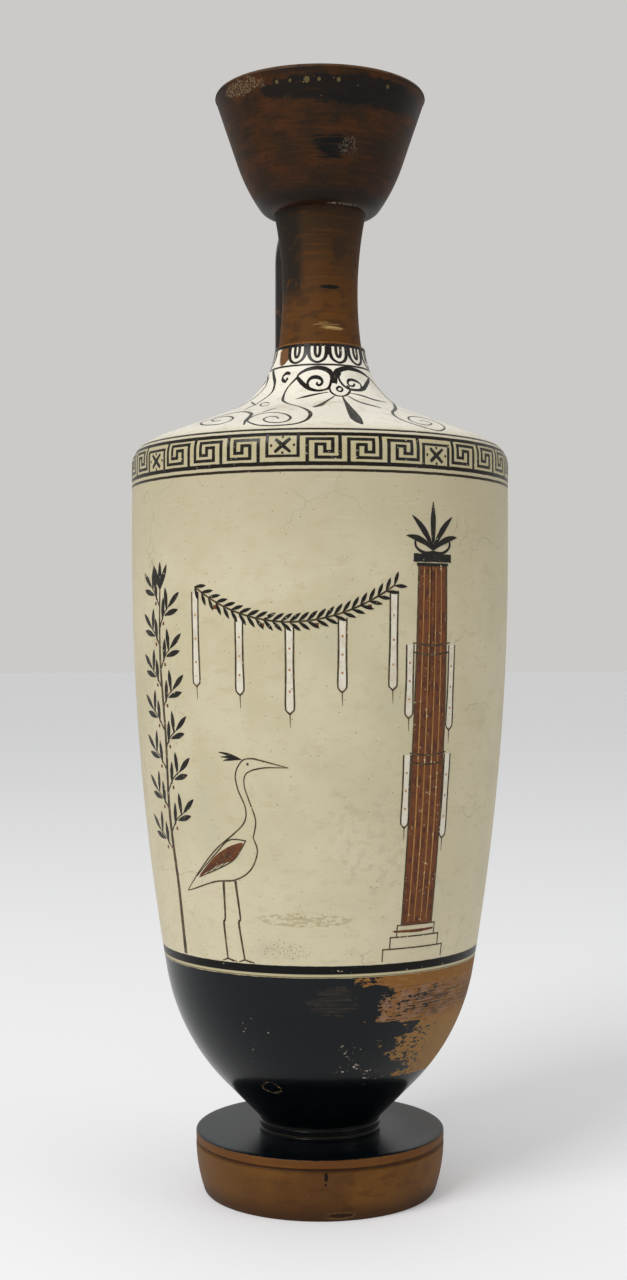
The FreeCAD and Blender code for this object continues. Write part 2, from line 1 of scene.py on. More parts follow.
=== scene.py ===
import bpy
import math
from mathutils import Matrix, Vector


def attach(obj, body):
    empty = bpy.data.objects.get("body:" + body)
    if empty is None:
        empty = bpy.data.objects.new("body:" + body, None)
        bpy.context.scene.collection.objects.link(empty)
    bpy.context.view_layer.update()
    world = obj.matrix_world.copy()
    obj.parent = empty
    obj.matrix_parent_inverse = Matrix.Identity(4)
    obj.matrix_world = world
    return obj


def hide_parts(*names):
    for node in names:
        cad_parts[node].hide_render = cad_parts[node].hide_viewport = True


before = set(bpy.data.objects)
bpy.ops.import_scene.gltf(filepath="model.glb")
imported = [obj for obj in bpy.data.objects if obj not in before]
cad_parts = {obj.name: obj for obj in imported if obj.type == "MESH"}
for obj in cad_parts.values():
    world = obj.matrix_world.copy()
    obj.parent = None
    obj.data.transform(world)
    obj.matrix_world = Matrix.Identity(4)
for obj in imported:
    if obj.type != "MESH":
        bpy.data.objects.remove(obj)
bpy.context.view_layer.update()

MM = 0.001
WHITE = (1.0, 1.0, 1.0, 1.0)

# The flask in millimetres: radii on which the brushwork is laid out, and heights where its zones meet
FRONT_RADIUS = 65.4
EGG_RADIUS = 16.3
DECK = 20.7
GLOSS_TOP = 82.1
KEYS_FOOT = 245.4
GROUND_TOP = 291.3
MOUTH_FLOOR = 338.5

# Steps round the wall, and the bend in radians above which an edge stays sharp
SEGMENTS = 240
SHARP = 0.6

# The photograph's frame and the camera fitted to it, in pixels, metres and degrees
PICTURE_HEIGHT = 1280
FOCAL_LENGTH = 1750
SHIFT = (-6.5, 17)
SENSOR = 36
EYE_DISTANCE = 0.6115
EYE_HEIGHT = 0.1845
VIEW_TURN = -14

FLOOR_COLOUR = (0.86, 0.865, 0.875, 1.0)
FLOOR_GLOW = 0.12
BACKDROP = (0.60, 0.59, 0.575, 1.0)
SKY = 0.56


# Trees: short ways to add and join nodes

class Net:
    """A node tree being built. An input takes a number, a tuple or another node's output."""

    def __init__(self, tree):
        self.tree = tree

    def feed(self, socket, value):
        if isinstance(value, bpy.types.NodeSocket):
            self.tree.links.new(value, socket)
        else:
            socket.default_value = value

    def add(self, kind, inputs=None, **settings):
        node = self.tree.nodes.new(kind)
        for name, value in settings.items():
            setattr(node, name, value)
        for key, value in (inputs or {}).items():
            self.feed(node.inputs[key], value)
        return node

    def math(self, operation, *values):
        node = self.tree.nodes.new("ShaderNodeMath")
        node.operation = operation
        for socket, value in zip(node.inputs, values):
            self.feed(socket, value)
        return node.outputs[0]

    def plus(self, first, second):
        return self.math("ADD", first, second)

    def minus(self, first, second):
        return self.math("SUBTRACT", first, second)

    def times(self, first, second):
        return self.math("MULTIPLY", first, second)

    def over(self, first, second):
        return self.math("DIVIDE", first, second)

    def vector(self, operation, first, second=None, scale=None):
        node = self.tree.nodes.new("ShaderNodeVectorMath")
        node.operation = operation
        for key, value in ((0, first), (1, second), ("Scale", scale)):
            if value is not None:
                self.feed(node.inputs[key], value)
        return node.outputs["Value" if operation in ("LENGTH", "DOT_PRODUCT") else "Vector"]

    def split(self, vector):
        return self.add("ShaderNodeSeparateXYZ", {0: vector}).outputs

    def join(self, x, y, z):
        return self.add("ShaderNodeCombineXYZ", {0: x, 1: y, 2: z}).outputs[0]

    def ramp(self, value, low, high, first=0.0, last=1.0):
        """Smooth change from first to last as value goes from low to high."""
        keys = {"Value": value, "From Min": low, "From Max": high, "To Min": first, "To Max": last}
        return self.add("ShaderNodeMapRange", keys, interpolation_type="SMOOTHSTEP").outputs[0]

    def noise(self, vector, scale, detail=3.0, roughness=0.6):
        keys = {"Vector": vector, "Scale": scale, "Detail": detail, "Roughness": roughness}
        return self.add("ShaderNodeTexNoise", keys).outputs[0]

    def blend(self, share, first, second):
        keys = {0: share, 6: first, 7: second}
        return self.add("ShaderNodeMix", keys, data_type="RGBA").outputs[2]

    def call(self, group, inputs):
        kind = self.tree.bl_idname.replace("NodeTree", "NodeGroup")
        return self.add(kind, inputs, node_tree=group).outputs

    def geo(self, kind, inputs=None, **settings):
        return self.add("GeometryNode" + kind, inputs, **settings).outputs[0]

    def named(self, name):
        return self.geo("InputNamedAttribute", {"Name": name}, data_type="FLOAT")

    def tag(self, geometry, name, value, kind="FLOAT", domain="POINT"):
        """Keeps a value on the geometry under a name."""
        keys = {"Geometry": geometry, "Name": name, "Value": value}
        return self.geo("StoreNamedAttribute", keys, data_type=kind, domain=domain)

    def sharpened(self, geometry):
        """Marks the edges that stay sharp under smooth shading."""
        bend = self.math("GREATER_THAN", self.geo("InputMeshEdgeAngle"), SHARP)
        return self.tag(geometry, "sharp_edge", bend, "BOOLEAN", "EDGE")

    def finished(self, geometry, material, out):
        """The end of every tree: smooth shading, instances made real, material set."""
        smooth = self.geo("SetShadeSmooth", {"Geometry": geometry, "Shade Smooth": True})
        real = self.geo("RealizeInstances", {"Geometry": smooth})
        self.feed(out, self.geo("SetMaterial", {"Geometry": real, "Material": material}))
        return self.tree


def new_tree(name, kind, inputs, outputs):
    """A tree or shared group. An input's name has its first number or socket type, an output's its type."""
    tree = bpy.data.node_groups.new(name, kind + "NodeTree")
    for label, given in inputs.items():
        socket = {int: "Int", float: "Float"}.get(type(given), given)
        item = tree.interface.new_socket(name=label, in_out="INPUT", socket_type="NodeSocket" + socket)
        if socket != given:
            item.default_value = given
    for label, socket in outputs.items():
        tree.interface.new_socket(name=label, in_out="OUTPUT", socket_type="NodeSocket" + socket)
    net = Net(tree)
    return net, net.add("NodeGroupInput").outputs, net.add("NodeGroupOutput").inputs


def colour(text):
    """Linear colour of a six-figure screen colour."""
    parts = [int(text[i:i + 2], 16) / 255 for i in (0, 2, 4)]
    return tuple(((p + 0.055) / 1.055) ** 2.4 if p > 0.04045 else p / 12.92 for p in parts) + (1.0,)


def grown(name, mesh, tree, settings):
    """Runs a tree over a mesh and returns the plain mesh object it makes."""
    source = bpy.data.objects.new(name + " source", mesh)
    bpy.context.scene.collection.objects.link(source)
    modifier = source.modifiers.new("grow", "NODES")
    modifier.node_group = tree
    for item in tree.interface.items_tree:
        if item.in_out == "INPUT" and item.name in settings:
            modifier[item.identifier] = settings[item.name]
    bpy.context.view_layer.update()
    made = bpy.data.meshes.new_from_object(source.evaluated_get(bpy.context.evaluated_depsgraph_get()))
    made.name = name
    bpy.data.objects.remove(source)
    piece = bpy.data.objects.new(name, made)
    bpy.context.scene.collection.objects.link(piece)
    return piece


# The half outline, in millimetres: the foot's hollow, the outside up to the lip, the inside down

class Outline:
    """Points of a half outline, walked in order along lines and arcs."""

    def __init__(self, r, z):
        self.points = [(r, z)]
        self.inner = [0.0]

    def put(self, r, z):
        self.points.append((r, z))
        self.inner.append(self.side)

    def line(self, r, z):
        first = self.points[-1]
        count = max(1, round(math.dist(first, (r, z)) / self.step))
        for i in range(1, count + 1):
            self.put(first[0] + (r - first[0]) * i / count, first[1] + (z - first[1]) * i / count)

    def arc(self, r, z, radius, first, last, least=4):
        """Arc about (r, z) from one direction to another in degrees; begins at the last point or joins it."""
        count = max(least, round(abs(last - first) * math.pi / 180 * radius / self.step))
        for i in range(count + 1):
            turn = math.radians(first + (last - first) * i / count)
            spot = (r + radius * math.cos(turn), z + radius * math.sin(turn))
            if math.dist(spot, self.points[-1]) > 0.03:
                self.put(*spot)

    def walk(self, side, step, rows):
        """Walks rows on one side (inner 1, outer 0) by steps: a pair ends a line, a longer row is an arc."""
        self.side, self.step = side, step
        for row in rows:
            (self.line if len(row) == 2 else self.arc)(*row)


def flask_outline():
    way = Outline(0.0, 9.0)
    way.walk(0.0, 1.7, (
        (33.0, 4.0), (33.0, 0.0), (39.9, 0.0), (39.65, 0.75, 0.7, -80, -18),
        (-8.76, 17.4, 51.96, -18.4, -0.85), (43.2, 17.4, 0.75, 268, 92, 8), (43.2, 20.2),
        (42.5, 20.3, 0.7, 0, 90), (21.0, 21.0), (21.0, 21.3), (21.0, 21.7, 0.4, 270, 90, 6), (21.0, 23.7),
        (21.0, 24.1, 0.4, 270, 90, 6), (21.0, 25.2), (33.66, 38.26), (-18.96, 89.28, 73.3, -44.1, -9.65),
        (-790.4, 220.4, 855.8, -9.65, 0), (65.4, 250.4), (57.4, 250.4, 8.0, 0, 58.5, 8),
        (41.22, 223.96, 39.0, 58.5, 69, 5), (33.02, 268.88), (42.77, 294.27, 27.2, 249, 185.6, 16),
        (14.6, 291.6), (151.2, 311.2, 138.0, 188.17, 168.6), (16.5, 338.5),
        (16.5, 344.1, 5.6, -90, -34.96, 6), (-30.13, 376.70, 62.5, -34.96, -18.7), (36.55, 378.65),
        (35.15, 378.5, 1.5, 0, 90), (34.65, 378.5, 1.5, 90, 170)))
    way.walk(1.0, 4.0, (
        (23.72, 353.15), (12.35, 357.0, 12.0, -18.7, -90, 7), (11.5, 342.0, 3.0, 90, 180, 5)))
    way.walk(1.0, 7.0, (
        (30.5, 287.57, 22.0, 180, 249, 7), (55.3, 248.6, 5.5, 69, 0, 4), (60.8, 220.4),
        (-795.0, 220.4, 855.8, 0, -9.65), (-5.4, 86.25, 54.9, -9.7, -71.5, 8), (0.0, 34.2)))
    return way


def lathe_tree():
    """Turns an outline round the upright axis, slightly uneven as thrown clay is."""
    net, given, out = new_tree("Turned clay", "Geometry", {
        "Outline": "Geometry", "Segments": 96, "Unevenness": 0.0, "Throwing Marks": 0.0,
        "Material": "Material"}, {"Clay": "Geometry"})
    outline = given["Outline"]
    count = net.add("GeometryNodeAttributeDomainSize", {0: outline}).outputs["Point Count"]
    columns = net.plus(given["Segments"], 1)
    grid = net.geo("MeshGrid", {"Size X": 1.0, "Size Y": 1.0, "Vertices X": columns, "Vertices Y": count})
    position = net.geo("InputPosition")
    place = net.split(position)
    row = net.math("ROUND", net.times(net.plus(place[1], 0.5), net.minus(count, 1)))
    turn = net.times(net.plus(place[0], 0.5), math.tau)
    keys = {"Geometry": outline, "Index": row}
    spot = net.geo("SampleIndex", dict(keys, Value=position), data_type="FLOAT_VECTOR")
    inner = net.geo("SampleIndex", dict(keys, Value=net.named("inner")), data_type="FLOAT")
    radius, _, height = net.split(spot)
    across = net.join(net.math("COSINE", turn), net.math("SINE", turn), 0.0)
    even = net.vector("ADD", net.vector("SCALE", across, scale=radius), net.join(0.0, 0.0, height))
    wide = net.noise(net.vector("MULTIPLY", even, (14.0, 14.0, 9.0)), 1.0, 2.0)
    marks = net.noise(net.vector("MULTIPLY", even, (3.0, 3.0, 210.0)), 1.0, 2.0)
    dent = net.plus(net.times(wide, given["Unevenness"]), net.times(marks, given["Throwing Marks"]))
    dent = net.times(dent, net.ramp(radius, 0.0, 0.03))
    moved = net.vector("SUBTRACT", even, net.vector("SCALE", across, scale=dent))
    placed = net.geo("SetPosition", {"Geometry": net.tag(grid, "inner", inner), "Position": moved})
    merged = net.geo("MergeByDistance", {"Geometry": placed, "Distance": 0.000008})
    return net.finished(net.sharpened(merged), given["Material"], out[0])


def strap_tree():
    """Draws a strap along its middle line, with clay smeared in a hollow round where it meets the wall."""
    net, given, out = new_tree("Bent strap", "Geometry", {
        "Middle Line": "Geometry", "Wall": "Object", "Width": 0.017, "Thickness": 0.006, "Smear": 0.003,
        "Neck Radius": 0.0135, "Material": "Material"}, {"Strap": "Geometry"})
    line = net.geo("MeshToCurve", {0: given["Middle Line"]})
    smooth = net.geo("CurveSplineType", {0: line}, spline_type="CATMULL_ROM")
    fine = net.geo("ResampleCurve", {0: smooth, "Count": 180})
    share = net.add("GeometryNodeSplineParameter").outputs["Factor"]
    tagged = net.tag(fine, "hug", net.ramp(share, 0.86, 0.98))
    level = net.geo("SetCurveNormal", {"Curve": tagged, "Normal": (1.0, 0.0, 0.0)}, mode="FREE")

    # Section: a rounded oblong
    ring = net.geo("CurvePrimitiveCircle", {"Resolution": 48, "Radius": 1.0})
    spot = net.geo("InputPosition")
    place = net.split(spot)
    rim = []
    for axis, power, size in ((place[0], 0.55, "Width"), (place[1], 0.72, "Thickness")):
        side = net.times(net.math("POWER", net.math("ABSOLUTE", axis), power), net.math("SIGN", axis))
        rim.append(net.times(side, net.times(given[size], 0.5)))
    section = net.geo("SetPosition", {"Geometry": ring, "Position": net.join(*rim, 0.0)})
    swept = net.geo("CurveToMesh", {"Curve": level, "Profile Curve": section, "Fill Caps": True})

    # Towards the neck, the strap curls round it
    hug = net.named("hug")
    neck = given["Neck Radius"]
    chord = net.math("MAXIMUM", net.minus(net.times(neck, neck), net.times(place[0], place[0])), 0.0)
    curl = net.times(net.minus(net.math("SQRT", chord), neck), hug)
    curled = net.geo("SetPosition", {"Geometry": swept, "Offset": net.join(0.0, curl, 0.0)})

    # The smear is narrower on the neck, so that the end of the strap doesn't stand out like a knob
    skin = net.add("GeometryNodeObjectInfo", {"Object": given["Wall"]}, transform_space="ORIGINAL")
    skin = skin.outputs["Geometry"]
    near = net.add("GeometryNodeProximity", {0: skin}, target_element="FACES").outputs["Position"]
    normal = net.geo("InputNormal")
    keys = {"Mesh": skin, "Value": normal}
    facing = net.geo("SampleNearestSurface", keys, data_type="FLOAT_VECTOR")
    clear = net.vector("DOT_PRODUCT", net.vector("SUBTRACT", spot, near), facing)
    smear = net.times(given["Smear"], net.minus(1.0, net.times(hug, 0.5)))
    close = net.add("ShaderNodeClamp", {"Value": net.minus(1.0, net.over(clear, smear))}).outputs[0]
    flare = net.vector("SCALE", normal, scale=net.times(net.times(close, close), smear))
    smeared = net.geo("SetPosition", {"Geometry": curled, "Offset": flare})
    merged = net.geo("MergeByDistance", {"Geometry": smeared, "Distance": 0.000005})
    return net.finished(merged, given["Material"], out[0])


def line_mesh(name, points, inner=None):
    mesh = bpy.data.meshes.new(name)
    mesh.from_pydata(points, [(i, i + 1) for i in range(len(points) - 1)], [])
    if inner:
        mesh.attributes.new("inner", "FLOAT", "POINT").data.foreach_set("value", inner)
    return mesh


def stroke_tree():
    """Sweeps chart lines into flat strokes and lays them on the wall, a little proud of it and sunk below.

    Round the wall, a chart is arc length at the reference radius by height; on the shoulder, it is the plan.
    """
    net, given, out = new_tree("Brush strokes", "Geometry", {
        "Chart Lines": "Geometry", "Wall": "Object", "On Shoulder": 0.0, "Reference Radius": 0.0654,
        "Proud": 0.00006, "Sunk": 0.0001, "Step": 0.001, "Waver": 0.0,
        "Material": "Material"}, {"Strokes": "Geometry"})
    line = net.geo("MeshToCurve", {0: given["Chart Lines"]})
    soft = net.geo("CurveSplineType", {0: line}, spline_type="CATMULL_ROM")
    fine = net.geo("ResampleCurve", {0: soft, "Length": given["Step"]}, mode="LENGTH")
    level = net.geo("SetCurveNormal", {0: fine}, mode="Z_UP")
    spot = net.geo("InputPosition")
    pull = net.minus(net.noise(net.vector("SCALE", spot, scale=900.0), 1.0, 1.0), 0.5)
    half = net.times(net.named("half_width"), net.plus(1.0, net.times(given["Waver"], pull)))
    square = net.geo("CurvePrimitiveQuadrilateral", {"Width": 2.0, "Height": 2.0})
    ring = net.geo("ResampleCurve", {0: square, "Count": 8})
    swept = net.geo("CurveToMesh", {"Curve": level, "Profile Curve": ring, "Scale": half, "Fill Caps": True})

    # From each point of the chart, a ray is cast at the wall; upper points end proud of it, lower ones sunk
    x, y, z = net.split(spot)
    turn = net.over(x, given["Reference Radius"])
    outward = net.join(net.math("SINE", turn), net.times(net.math("COSINE", turn), -1.0), 0.0)
    on_top = given["On Shoulder"]
    beside = net.minus(1.0, on_top)
    away = net.vector("ADD", net.vector("SCALE", outward, scale=beside), net.join(0.0, 0.0, on_top))
    far = net.vector("ADD", net.vector("SCALE", outward, scale=0.2), net.join(0.0, 0.0, y))
    above = net.vector("SCALE", net.join(x, y, 0.33), scale=on_top)
    start = net.vector("ADD", net.vector("SCALE", far, scale=beside), above)
    skin = net.add("GeometryNodeObjectInfo", {"Object": given["Wall"]}, transform_space="ORIGINAL")
    keys = {"Target Geometry": skin.outputs["Geometry"], "Source Position": start,
            "Ray Direction": net.vector("SCALE", away, scale=-1.0), "Ray Length": 0.25}
    hit = net.add("GeometryNodeRaycast", keys).outputs["Hit Position"]
    upper = net.times(net.math("GREATER_THAN", z, 0.00001), given["Proud"])
    lower = net.times(net.math("LESS_THAN", z, -0.00001), given["Sunk"])
    place = net.vector("ADD", hit, net.vector("SCALE", away, scale=net.minus(upper, lower)))
    laid = net.geo("SetPosition", {"Geometry": swept, "Position": place})
    return net.finished(net.sharpened(laid), given["Material"], out[0])


def chart_mesh(name, strokes):
    """Strokes as lines of a chart; each point is (across, up, half width) in millimetres."""
    points, edges, half = [], [], []
    for stroke in strokes:
        first = len(points)
        for x, y, width in stroke:
            points.append((x * MM, y * MM, 0.0))
            half.append(width * MM)
        edges += [(i, i + 1) for i in range(first, len(points) - 1)]
    mesh = bpy.data.meshes.new(name)
    mesh.from_pydata(points, edges, [])
    mesh.attributes.new("half_width", "FLOAT", "POINT").data.foreach_set("value", half)
    return mesh


def bars(points, level_half, upright_half):
    """Straight brush bars along a path of level and upright runs, each run on past its corners."""
    strokes = []
    for (x0, y0), (x1, y1) in zip(points, points[1:]):
        upright = abs(y1 - y0) > abs(x1 - x0)
        half, other = (upright_half, level_half) if upright else (level_half, upright_half)
        length = math.dist((x0, y0), (x1, y1))
        dx, dy = (x1 - x0) / length * other * 0.9, (y1 - y0) / length * other * 0.9
        strokes.append([(x0 - dx, y0 - dy, half), (x1 + dx, y1 + dy, half)])
    return strokes


def moved(strokes, dx, dy=0.0, flip=1.0):
    return [[(x * flip + dx, y + dy, half) for x, y, half in stroke] for stroke in strokes]


def turned(strokes, degrees, swell):
    """Plan strokes turned about the axis, with their widths swollen."""
    c, s = math.cos(math.radians(degrees)), math.sin(math.radians(degrees))
    return [[(x * c - y * s, x * s + y * c, half * swell) for x, y, half in stroke] for stroke in strokes]


def arc_mm(degrees):
    return math.radians(degrees) * FRONT_RADIUS


def leaf(x, y, lean, length, half, bend=0.0):
    """A leaf or drop: a stroke that swells and closes, leaning in degrees from level."""
    stroke = []
    for share, width in ((0.0, 0.15), (0.3, 0.75), (0.6, 1.0), (0.85, 0.6), (1.0, 0.1)):
        turn = math.radians(lean + bend * share)
        stroke.append((x + math.cos(turn) * length * share, y + math.sin(turn) * length * share,
                       half * width))
    return stroke


def dot(x, y, size):
    return [(x - size * 0.7, y, size * 0.75), (x, y, size), (x + size * 0.7, y, size * 0.75)]


# The running key pattern: three keys and a saltire square, eight times round

def meander():
    key = bars([(0, 0), (0, 7.3), (8.0, 7.3), (8.0, 3.3), (5.5, 3.3), (5.5, 5.6), (2.8, 5.6), (2.8, 1.5),
                (10.3, 1.5), (10.3, 8.7)], 0.48, 0.56)
    square = bars([(-5.0, 8.7), (-5.0, 2.0), (5.0, 2.0), (5.0, 8.7)], 0.42, 0.52)
    cross = [[(-2.5, 3.2, 0.45), (0.0, 5.4, 0.6), (2.5, 7.5, 0.5)],
             [(-2.3, 7.4, 0.5), (0.2, 5.2, 0.6), (2.6, 3.2, 0.4)]]
    cross += [dot(x, y, 0.5) for x, y in ((-3.6, 5.3), (3.7, 5.4), (0.1, 8.0), (0.0, 3.0))]
    unit = arc_mm(45)
    pitch = arc_mm(11.45)
    strokes = []
    for number in range(8):
        middle = arc_mm(-24.4) + unit * number
        standing = number % 2 == 1
        box = [[(x, 8.7 - y if standing else y, w) for x, y, w in s] for s in square + cross]
        strokes += moved(box, middle, KEYS_FOOT)
        for place in range(3):
            if standing:
                start = middle + unit - arc_mm(6.9) - pitch * place
                strokes += moved(key, start, KEYS_FOOT, flip=-1.0)
            else:
                strokes += moved(key, middle + arc_mm(6.9) + pitch * place, KEYS_FOOT)
    return strokes


def egg_band():
    """Tongues with dark outlines round the foot of the neck, fourteen to a turn."""
    pitch = math.tau * EGG_RADIUS / 14
    inner = [(-0.85, 291.2, 0.56), (-0.85, 288.6, 0.54), (-0.55, 287.2, 0.5), (0.0, 286.6, 0.5),
             (0.55, 287.2, 0.5), (0.85, 288.6, 0.54), (0.85, 291.2, 0.56)]
    outer = [(-3.2, 291.2, 0.8), (-3.05, 288.0, 0.66), (-2.3, 286.0, 0.52), (-1.1, 285.0, 0.42),
             (0.0, 284.7, 0.4), (1.1, 285.0, 0.42), (2.3, 286.0, 0.52), (3.05, 288.0, 0.66), (3.2, 291.2, 0.8)]
    strokes = []
    for number in range(14):
        middle = math.radians(-17) * EGG_RADIUS + pitch * number
        # One tongue is left out, where the finish lays a brown place on the ground
        if number != 12:
            strokes += moved([inner, outer], middle)
    return strokes


# Strokes in plan, seen from above with the front at -Y: (across, along, half width)
SCROLLS = [
    [(-0.8, -21.8, 0.4), (-0.8, -19.4, 0.46), (-2.0, -18.5, 0.28), (-4.2, -17.7, 0.2), (-7.2, -16.8, 0.18),
     (-9.8, -16.0, 0.17), (-11.8, -15.8, 0.2), (-11.3, -17.9, 0.32), (-10.1, -20.5, 0.38),
     (-8.6, -22.7, 0.34), (-6.2, -24.0, 0.26), (-3.3, -23.7, 0.23), (-1.9, -22.1, 0.23),
     (-1.1, -20.4, 0.23)],
    [(-9.3, -21.3, 0.23), (-9.3, -19.8, 0.23), (-8.4, -18.9, 0.26), (-6.7, -19.0, 0.26),
     (-4.8, -19.9, 0.26), (-4.4, -21.1, 0.23), (-5.6, -21.9, 0.23), (-6.5, -21.3, 0.2),
     (-6.0, -20.7, 0.17)],
    [(-0.4, -21.8, 0.49), (0.6, -19.4, 0.46), (2.2, -18.4, 0.28), (4.6, -17.5, 0.2), (7.7, -16.4, 0.18),
     (10.5, -15.1, 0.17), (13.8, -13.6, 0.18), (12.0, -17.5, 0.26), (9.6, -21.2, 0.3), (6.6, -23.0, 0.28),
     (3.8, -23.1, 0.23), (2.1, -21.6, 0.23), (1.5, -20.0, 0.2), (2.5, -18.7, 0.2)],
    [(9.2, -21.4, 0.2), (9.4, -19.4, 0.2), (7.7, -19.2, 0.2), (5.4, -19.8, 0.2), (4.4, -20.8, 0.2),
     (4.8, -21.9, 0.2), (6.3, -21.5, 0.17), (7.0, -20.4, 0.17)],
    [(-2.5, -23.2, 0.17), (-2.6, -24.9, 0.2), (-1.7, -26.7, 0.2), (-0.2, -27.6, 0.2), (2.1, -27.0, 0.2),
     (4.1, -24.7, 0.2), (4.6, -22.9, 0.2), (3.7, -22.2, 0.2)],
    [(-0.2, -23.8, 0.2), (0.2, -24.9, 0.2), (1.3, -24.8, 0.2), (1.9, -23.6, 0.2), (1.0, -22.9, 0.2),
     (-0.2, -23.8, 0.2)],
    [(-3.4, -25.3, 0.05), (-7.6, -25.5, 0.2), (-11.4, -25.6, 0.3), (-14.8, -25.7, 0.05)],
    [(-1.9, -27.6, 0.1), (-5.6, -31.5, 0.25), (-8.9, -36.4, 0.5), (-11.8, -38.4, 0.3)],
    [(0.9, -27.5, 0.1), (0.6, -32.7, 0.3), (-0.3, -40.9, 0.6), (-1.1, -48.9, 0.9), (-1.8, -56.5, 0.9),
     (-1.1, -60.0, 0.2)],
    [(3.1, -27.1, 0.1), (5.3, -30.4, 0.25), (7.7, -33.0, 0.5), (10.0, -34.6, 0.45), (12.0, -36.2, 0.1)],
    [(4.3, -25.2, 0.05), (8.8, -25.1, 0.22), (13.0, -25.3, 0.3), (17.1, -23.2, 0.05)],
    [(-11.9, -16.1, 0.2), (-14.4, -16.5, 0.17), (-16.5, -18.0, 0.17), (-18.2, -21.7, 0.23),
     (-18.7, -24.6, 0.26), (-17.9, -30.3, 0.17), (-15.9, -35.9, 0.17), (-14.6, -41.7, 0.3),
     (-14.9, -47.2, 0.36), (-17.4, -53.2, 0.3), (-20.5, -55.6, 0.23), (-24.4, -55.5, 0.2),
     (-29.7, -53.2, 0.17), (-33.4, -49.5, 0.17), (-34.8, -43.6, 0.17), (-32.5, -38.8, 0.17),
     (-28.7, -36.7, 0.17), (-24.9, -38.9, 0.17), (-22.3, -43.5, 0.2), (-21.9, -49.0, 0.23),
     (-24.0, -52.4, 0.2), (-27.2, -52.1, 0.17), (-29.8, -49.2, 0.17), (-29.9, -45.3, 0.17),
     (-27.8, -43.1, 0.17), (-25.9, -44.8, 0.17), (-25.6, -48.1, 0.13)],
    [(13.9, -13.1, 0.17), (17.9, -12.6, 0.17), (21.0, -17.0, 0.2), (20.7, -21.8, 0.26), (17.8, -32.6, 0.33),
     (14.3, -41.1, 0.26), (13.7, -47.9, 0.2), (15.7, -53.5, 0.2), (20.3, -56.0, 0.17), (25.9, -55.4, 0.15),
     (29.8, -48.6, 0.15), (29.2, -39.6, 0.17), (25.0, -38.6, 0.17), (19.6, -43.1, 0.17),
     (17.7, -49.1, 0.17), (19.3, -52.7, 0.15), (22.8, -52.4, 0.14), (25.6, -48.0, 0.14),
     (24.5, -45.3, 0.13), (21.9, -47.0, 0.1)],
    [(-13.7, -13.3, 0.13), (-14.7, -11.8, 0.2), (-15.8, -11.3, 0.23), (-16.2, -12.2, 0.23),
     (-15.6, -14.0, 0.23), (-14.9, -14.0, 0.2), (-15.0, -13.2, 0.17)],
    [(-28.0, -34.7, 0.07), (-25.5, -33.8, 0.2), (-22.9, -32.8, 0.07)],
]
LEFT_SCROLLS = [
    [(-36.6, -46.6, 0.3), (-34.9, -41.6, 0.5), (-31.7, -34.7, 0.6), (-31.6, -29.5, 0.5),
     (-33.2, -24.3, 0.4), (-36.4, -21.0, 0.32), (-41.4, -19.1, 0.3), (-45.9, -21.7, 0.35),
     (-46.6, -30.5, 0.35), (-43.0, -37.3, 0.35), (-39.3, -36.7, 0.35), (-37.3, -32.2, 0.35),
     (-37.9, -26.1, 0.35), (-40.1, -22.8, 0.32), (-42.7, -24.0, 0.3), (-42.8, -28.8, 0.3),
     (-40.9, -30.6, 0.2)],
    [(-17.5, -3.1, 0.3), (-18.0, -6.8, 0.4), (-18.3, -9.6, 0.42), (-19.6, -12.8, 0.4), (-21.5, -14.2, 0.32),
     (-24.5, -15.4, 0.3), (-28.4, -18.8, 0.3), (-31.2, -21.8, 0.25)],
    [(-22.9, -22.2, 0.25), (-23.7, -19.7, 0.25), (-25.0, -19.2, 0.25), (-26.1, -22.5, 0.25),
     (-25.3, -25.4, 0.25), (-23.5, -24.8, 0.2)],
    [(-26.9, -18.4, 0.2), (-26.7, -14.0, 0.3), (-26.5, -9.8, 0.2)],
]


def shoulder_scrolls():
    """Palmettes between tendrils, one in front and one towards each side of the handle."""
    strokes = list(LEFT_SCROLLS)
    for degrees in (0, 130, -130):
        strokes += turned(SCROLLS, degrees, 1.85)
    return strokes


# The picture field: a fluted column hung with fillets, a garland, a young laurel and a wading bird

def sash(x, top, length, half=1.35):
    """A white fillet hanging down, with its dark outline and the thread at its end."""
    low = top - length
    fill = [(x, top, half * 0.7), (x + 0.2, top - 0.3 * length, half), (x - 0.1, low + 2.0, half),
            (x, low + 0.4, half * 0.5)]
    left = [(x - half, top, 0.24), (x - half + 0.1, top - 0.5 * length, 0.3),
            (x - half - 0.1, low + 2.0, 0.26), (x - half * 0.6, low + 0.3, 0.24), (x, low - 0.4, 0.26)]
    right = [(2 * x - a, b, w) for a, b, w in left]
    thread = [(x, low - 0.3, 0.18), (x + 0.1, low - 4.5, 0.05)]
    knots = [dot(x, top - length * part, 0.45) for part in (0.25, 0.5, 0.75)]
    return {"white": [fill], "thin": [left, right, thread], "gold": knots}


